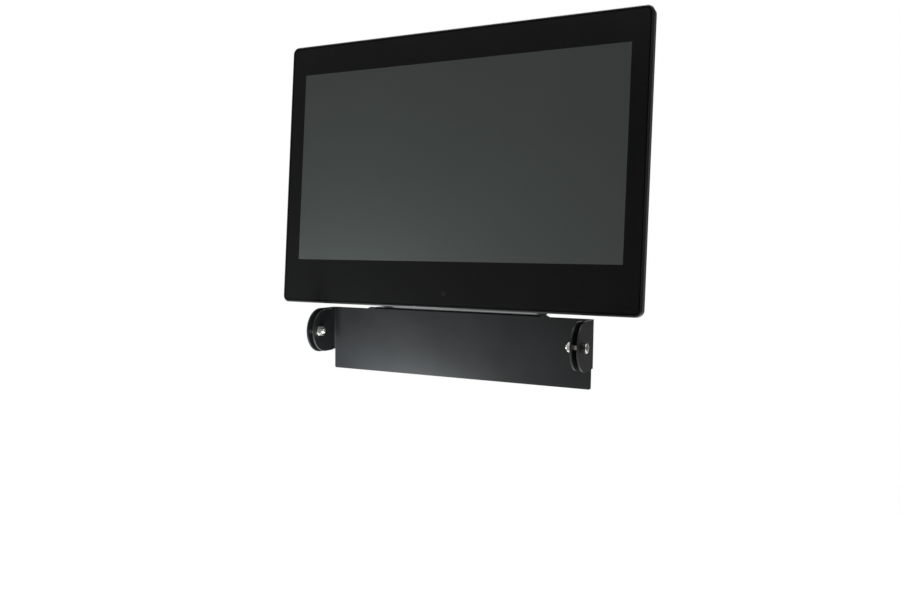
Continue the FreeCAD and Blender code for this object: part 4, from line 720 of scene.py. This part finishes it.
# The part of the direction over which each one changes: X, Y or Z of a unit vector.
BEHIND_FADE = (-0.15, 0.6)      # Y, from none to all
BEHIND_X_FADE = (0.0, 0.2)      # X, from all to none, so that the right stays dark
LEFT_FADE = (-0.9, -0.1)        # X, from all to none
ABOVE_FADE = (0.3, 0.85)        # Z, from none to all
FRONT_FADE = (-0.15, 0.3)       # Z, from LOW to HIGH
SUN = 2.6
SUN_SPREAD = math.radians(50)
SUN_TILT = math.radians(-16)
LOW_LEFT_AT = (-0.108, -0.075, -0.13)
LOW_LEFT_TOWARDS = (-0.11, 0.033, -0.01)
LOW_LEFT_SIZE = (0.045, 0.05)
LOW_LEFT_POWER = 0.95
LOW_LEFT_COLOUR = (0.9, 0.98, 1.0)


def camera():
    """Camera solved from the picture's corners in the photograph."""
    data = bpy.data.cameras.new("camera")
    data.lens = LENS
    data.sensor_width = SENSOR_W
    data.clip_start = 0.01
    made = bpy.data.objects.new("camera", data)
    bpy.context.scene.collection.objects.link(made)
    turn = Matrix.Rotation(CAMERA_YAW, 4, "Z") @ Matrix.Rotation(math.pi / 2 + CAMERA_PITCH, 4, "X")
    made.matrix_world = Matrix.Translation(CAMERA_AT) @ turn @ Matrix.Rotation(CAMERA_ROLL, 4, "Z")
    bpy.context.scene.camera = made


def area_light(name, at, towards, size, power, colour):
    """Rectangular light that isn't seen by the camera."""
    data = bpy.data.lights.new(name, "AREA")
    data.shape = "RECTANGLE"
    data.size, data.size_y = size
    data.energy = power
    data.color = colour
    made = bpy.data.objects.new(name, data)
    bpy.context.scene.collection.objects.link(made)
    made.location = at
    made.rotation_mode = "QUATERNION"
    made.rotation_quaternion = (Vector(towards) - Vector(at)).to_track_quat("-Z", "Y")
    made.visible_camera = False


def floor():
    """Round pale floor, below the part: the part hangs from its side walls."""
    grid = bmesh.new()
    bmesh.ops.create_circle(grid, cap_ends=True, segments=96, radius=FLOOR_R)
    bmesh.ops.translate(grid, verts=grid.verts, vec=(0.0, 0.0, FLOOR_Z))
    mesh = bpy.data.meshes.new("floor")
    grid.to_mesh(mesh)
    grid.free()
    made = bpy.data.objects.new("floor", mesh)
    bpy.context.scene.collection.objects.link(made)
    f = Finish("floor_pale", (0.86, 0.86, 0.86), 0.8, specular=0.2)
    f.set("Base Color", f.blend(f.noise(3.0), (0.85, 0.85, 0.85), (0.88, 0.88, 0.88)))
    mesh.materials.append(f.material)


def world():
    """Studio air. It lights the part more from above, behind and the left, and is plain white to look at."""
    made = bpy.data.worlds.new("studio")
    bpy.context.scene.world = made
    made.use_nodes = True
    tree = made.node_tree
    background = tree.nodes["Background"]
    background.inputs["Color"].default_value = (1.0, 1.0, 1.0, 1.0)
    split = tree.nodes.new("ShaderNodeSeparateXYZ")
    tree.links.new(tree.nodes.new("ShaderNodeTexCoord").outputs["Generated"], split.inputs[0])

    def ramp(axis, start, end, low, high):
        made = tree.nodes.new("ShaderNodeMapRange")
        made.interpolation_type = "SMOOTHSTEP"
        for name, value in zip(("From Min", "From Max", "To Min", "To Max"), (start, end, low, high)):
            made.inputs[name].default_value = value
        tree.links.new(split.outputs[axis], made.inputs["Value"])
        return made.outputs["Result"]

    def maths(operation, a, b):
        made = tree.nodes.new("ShaderNodeMath")
        made.operation = operation
        for socket, value in zip(made.inputs, (a, b)):
            if isinstance(value, bpy.types.NodeSocket):
                tree.links.new(value, socket)
            else:
                socket.default_value = value
        return made.outputs[0]

    not_right = ramp("X", *BEHIND_X_FADE, 1.0, 0.0)
    behind = maths("MULTIPLY", ramp("Y", *BEHIND_FADE, 0.0, WORLD_BEHIND), not_right)
    left = ramp("X", *LEFT_FADE, WORLD_LEFT, 0.0)
    above = ramp("Z", *ABOVE_FADE, 0.0, WORLD_ABOVE)
    front = ramp("Z", *FRONT_FADE, WORLD_FRONT_LOW, WORLD_FRONT_HIGH)
    light = maths("ADD", maths("ADD", behind, left), maths("ADD", above, front))
    seen = tree.nodes.new("ShaderNodeLightPath").outputs["Is Camera Ray"]
    plain = maths("MULTIPLY", maths("SUBTRACT", 1.0, light), seen)
    tree.links.new(maths("ADD", light, plain), background.inputs["Strength"])


def sun():
    """Broad overhead light: it whitens the floor evenly and brightens the upper edges."""
    data = bpy.data.lights.new("overhead", "SUN")
    data.energy = SUN
    data.angle = SUN_SPREAD
    made = bpy.data.objects.new("overhead", data)
    bpy.context.scene.collection.objects.link(made)
    made.rotation_euler = (SUN_TILT, 0.0, 0.0)


camera()
floor()
world()
sun()
area_light("low_left", LOW_LEFT_AT, LOW_LEFT_TOWARDS, LOW_LEFT_SIZE, LOW_LEFT_POWER, LOW_LEFT_COLOUR)
bpy.context.scene.view_settings.view_transform = "Standard"
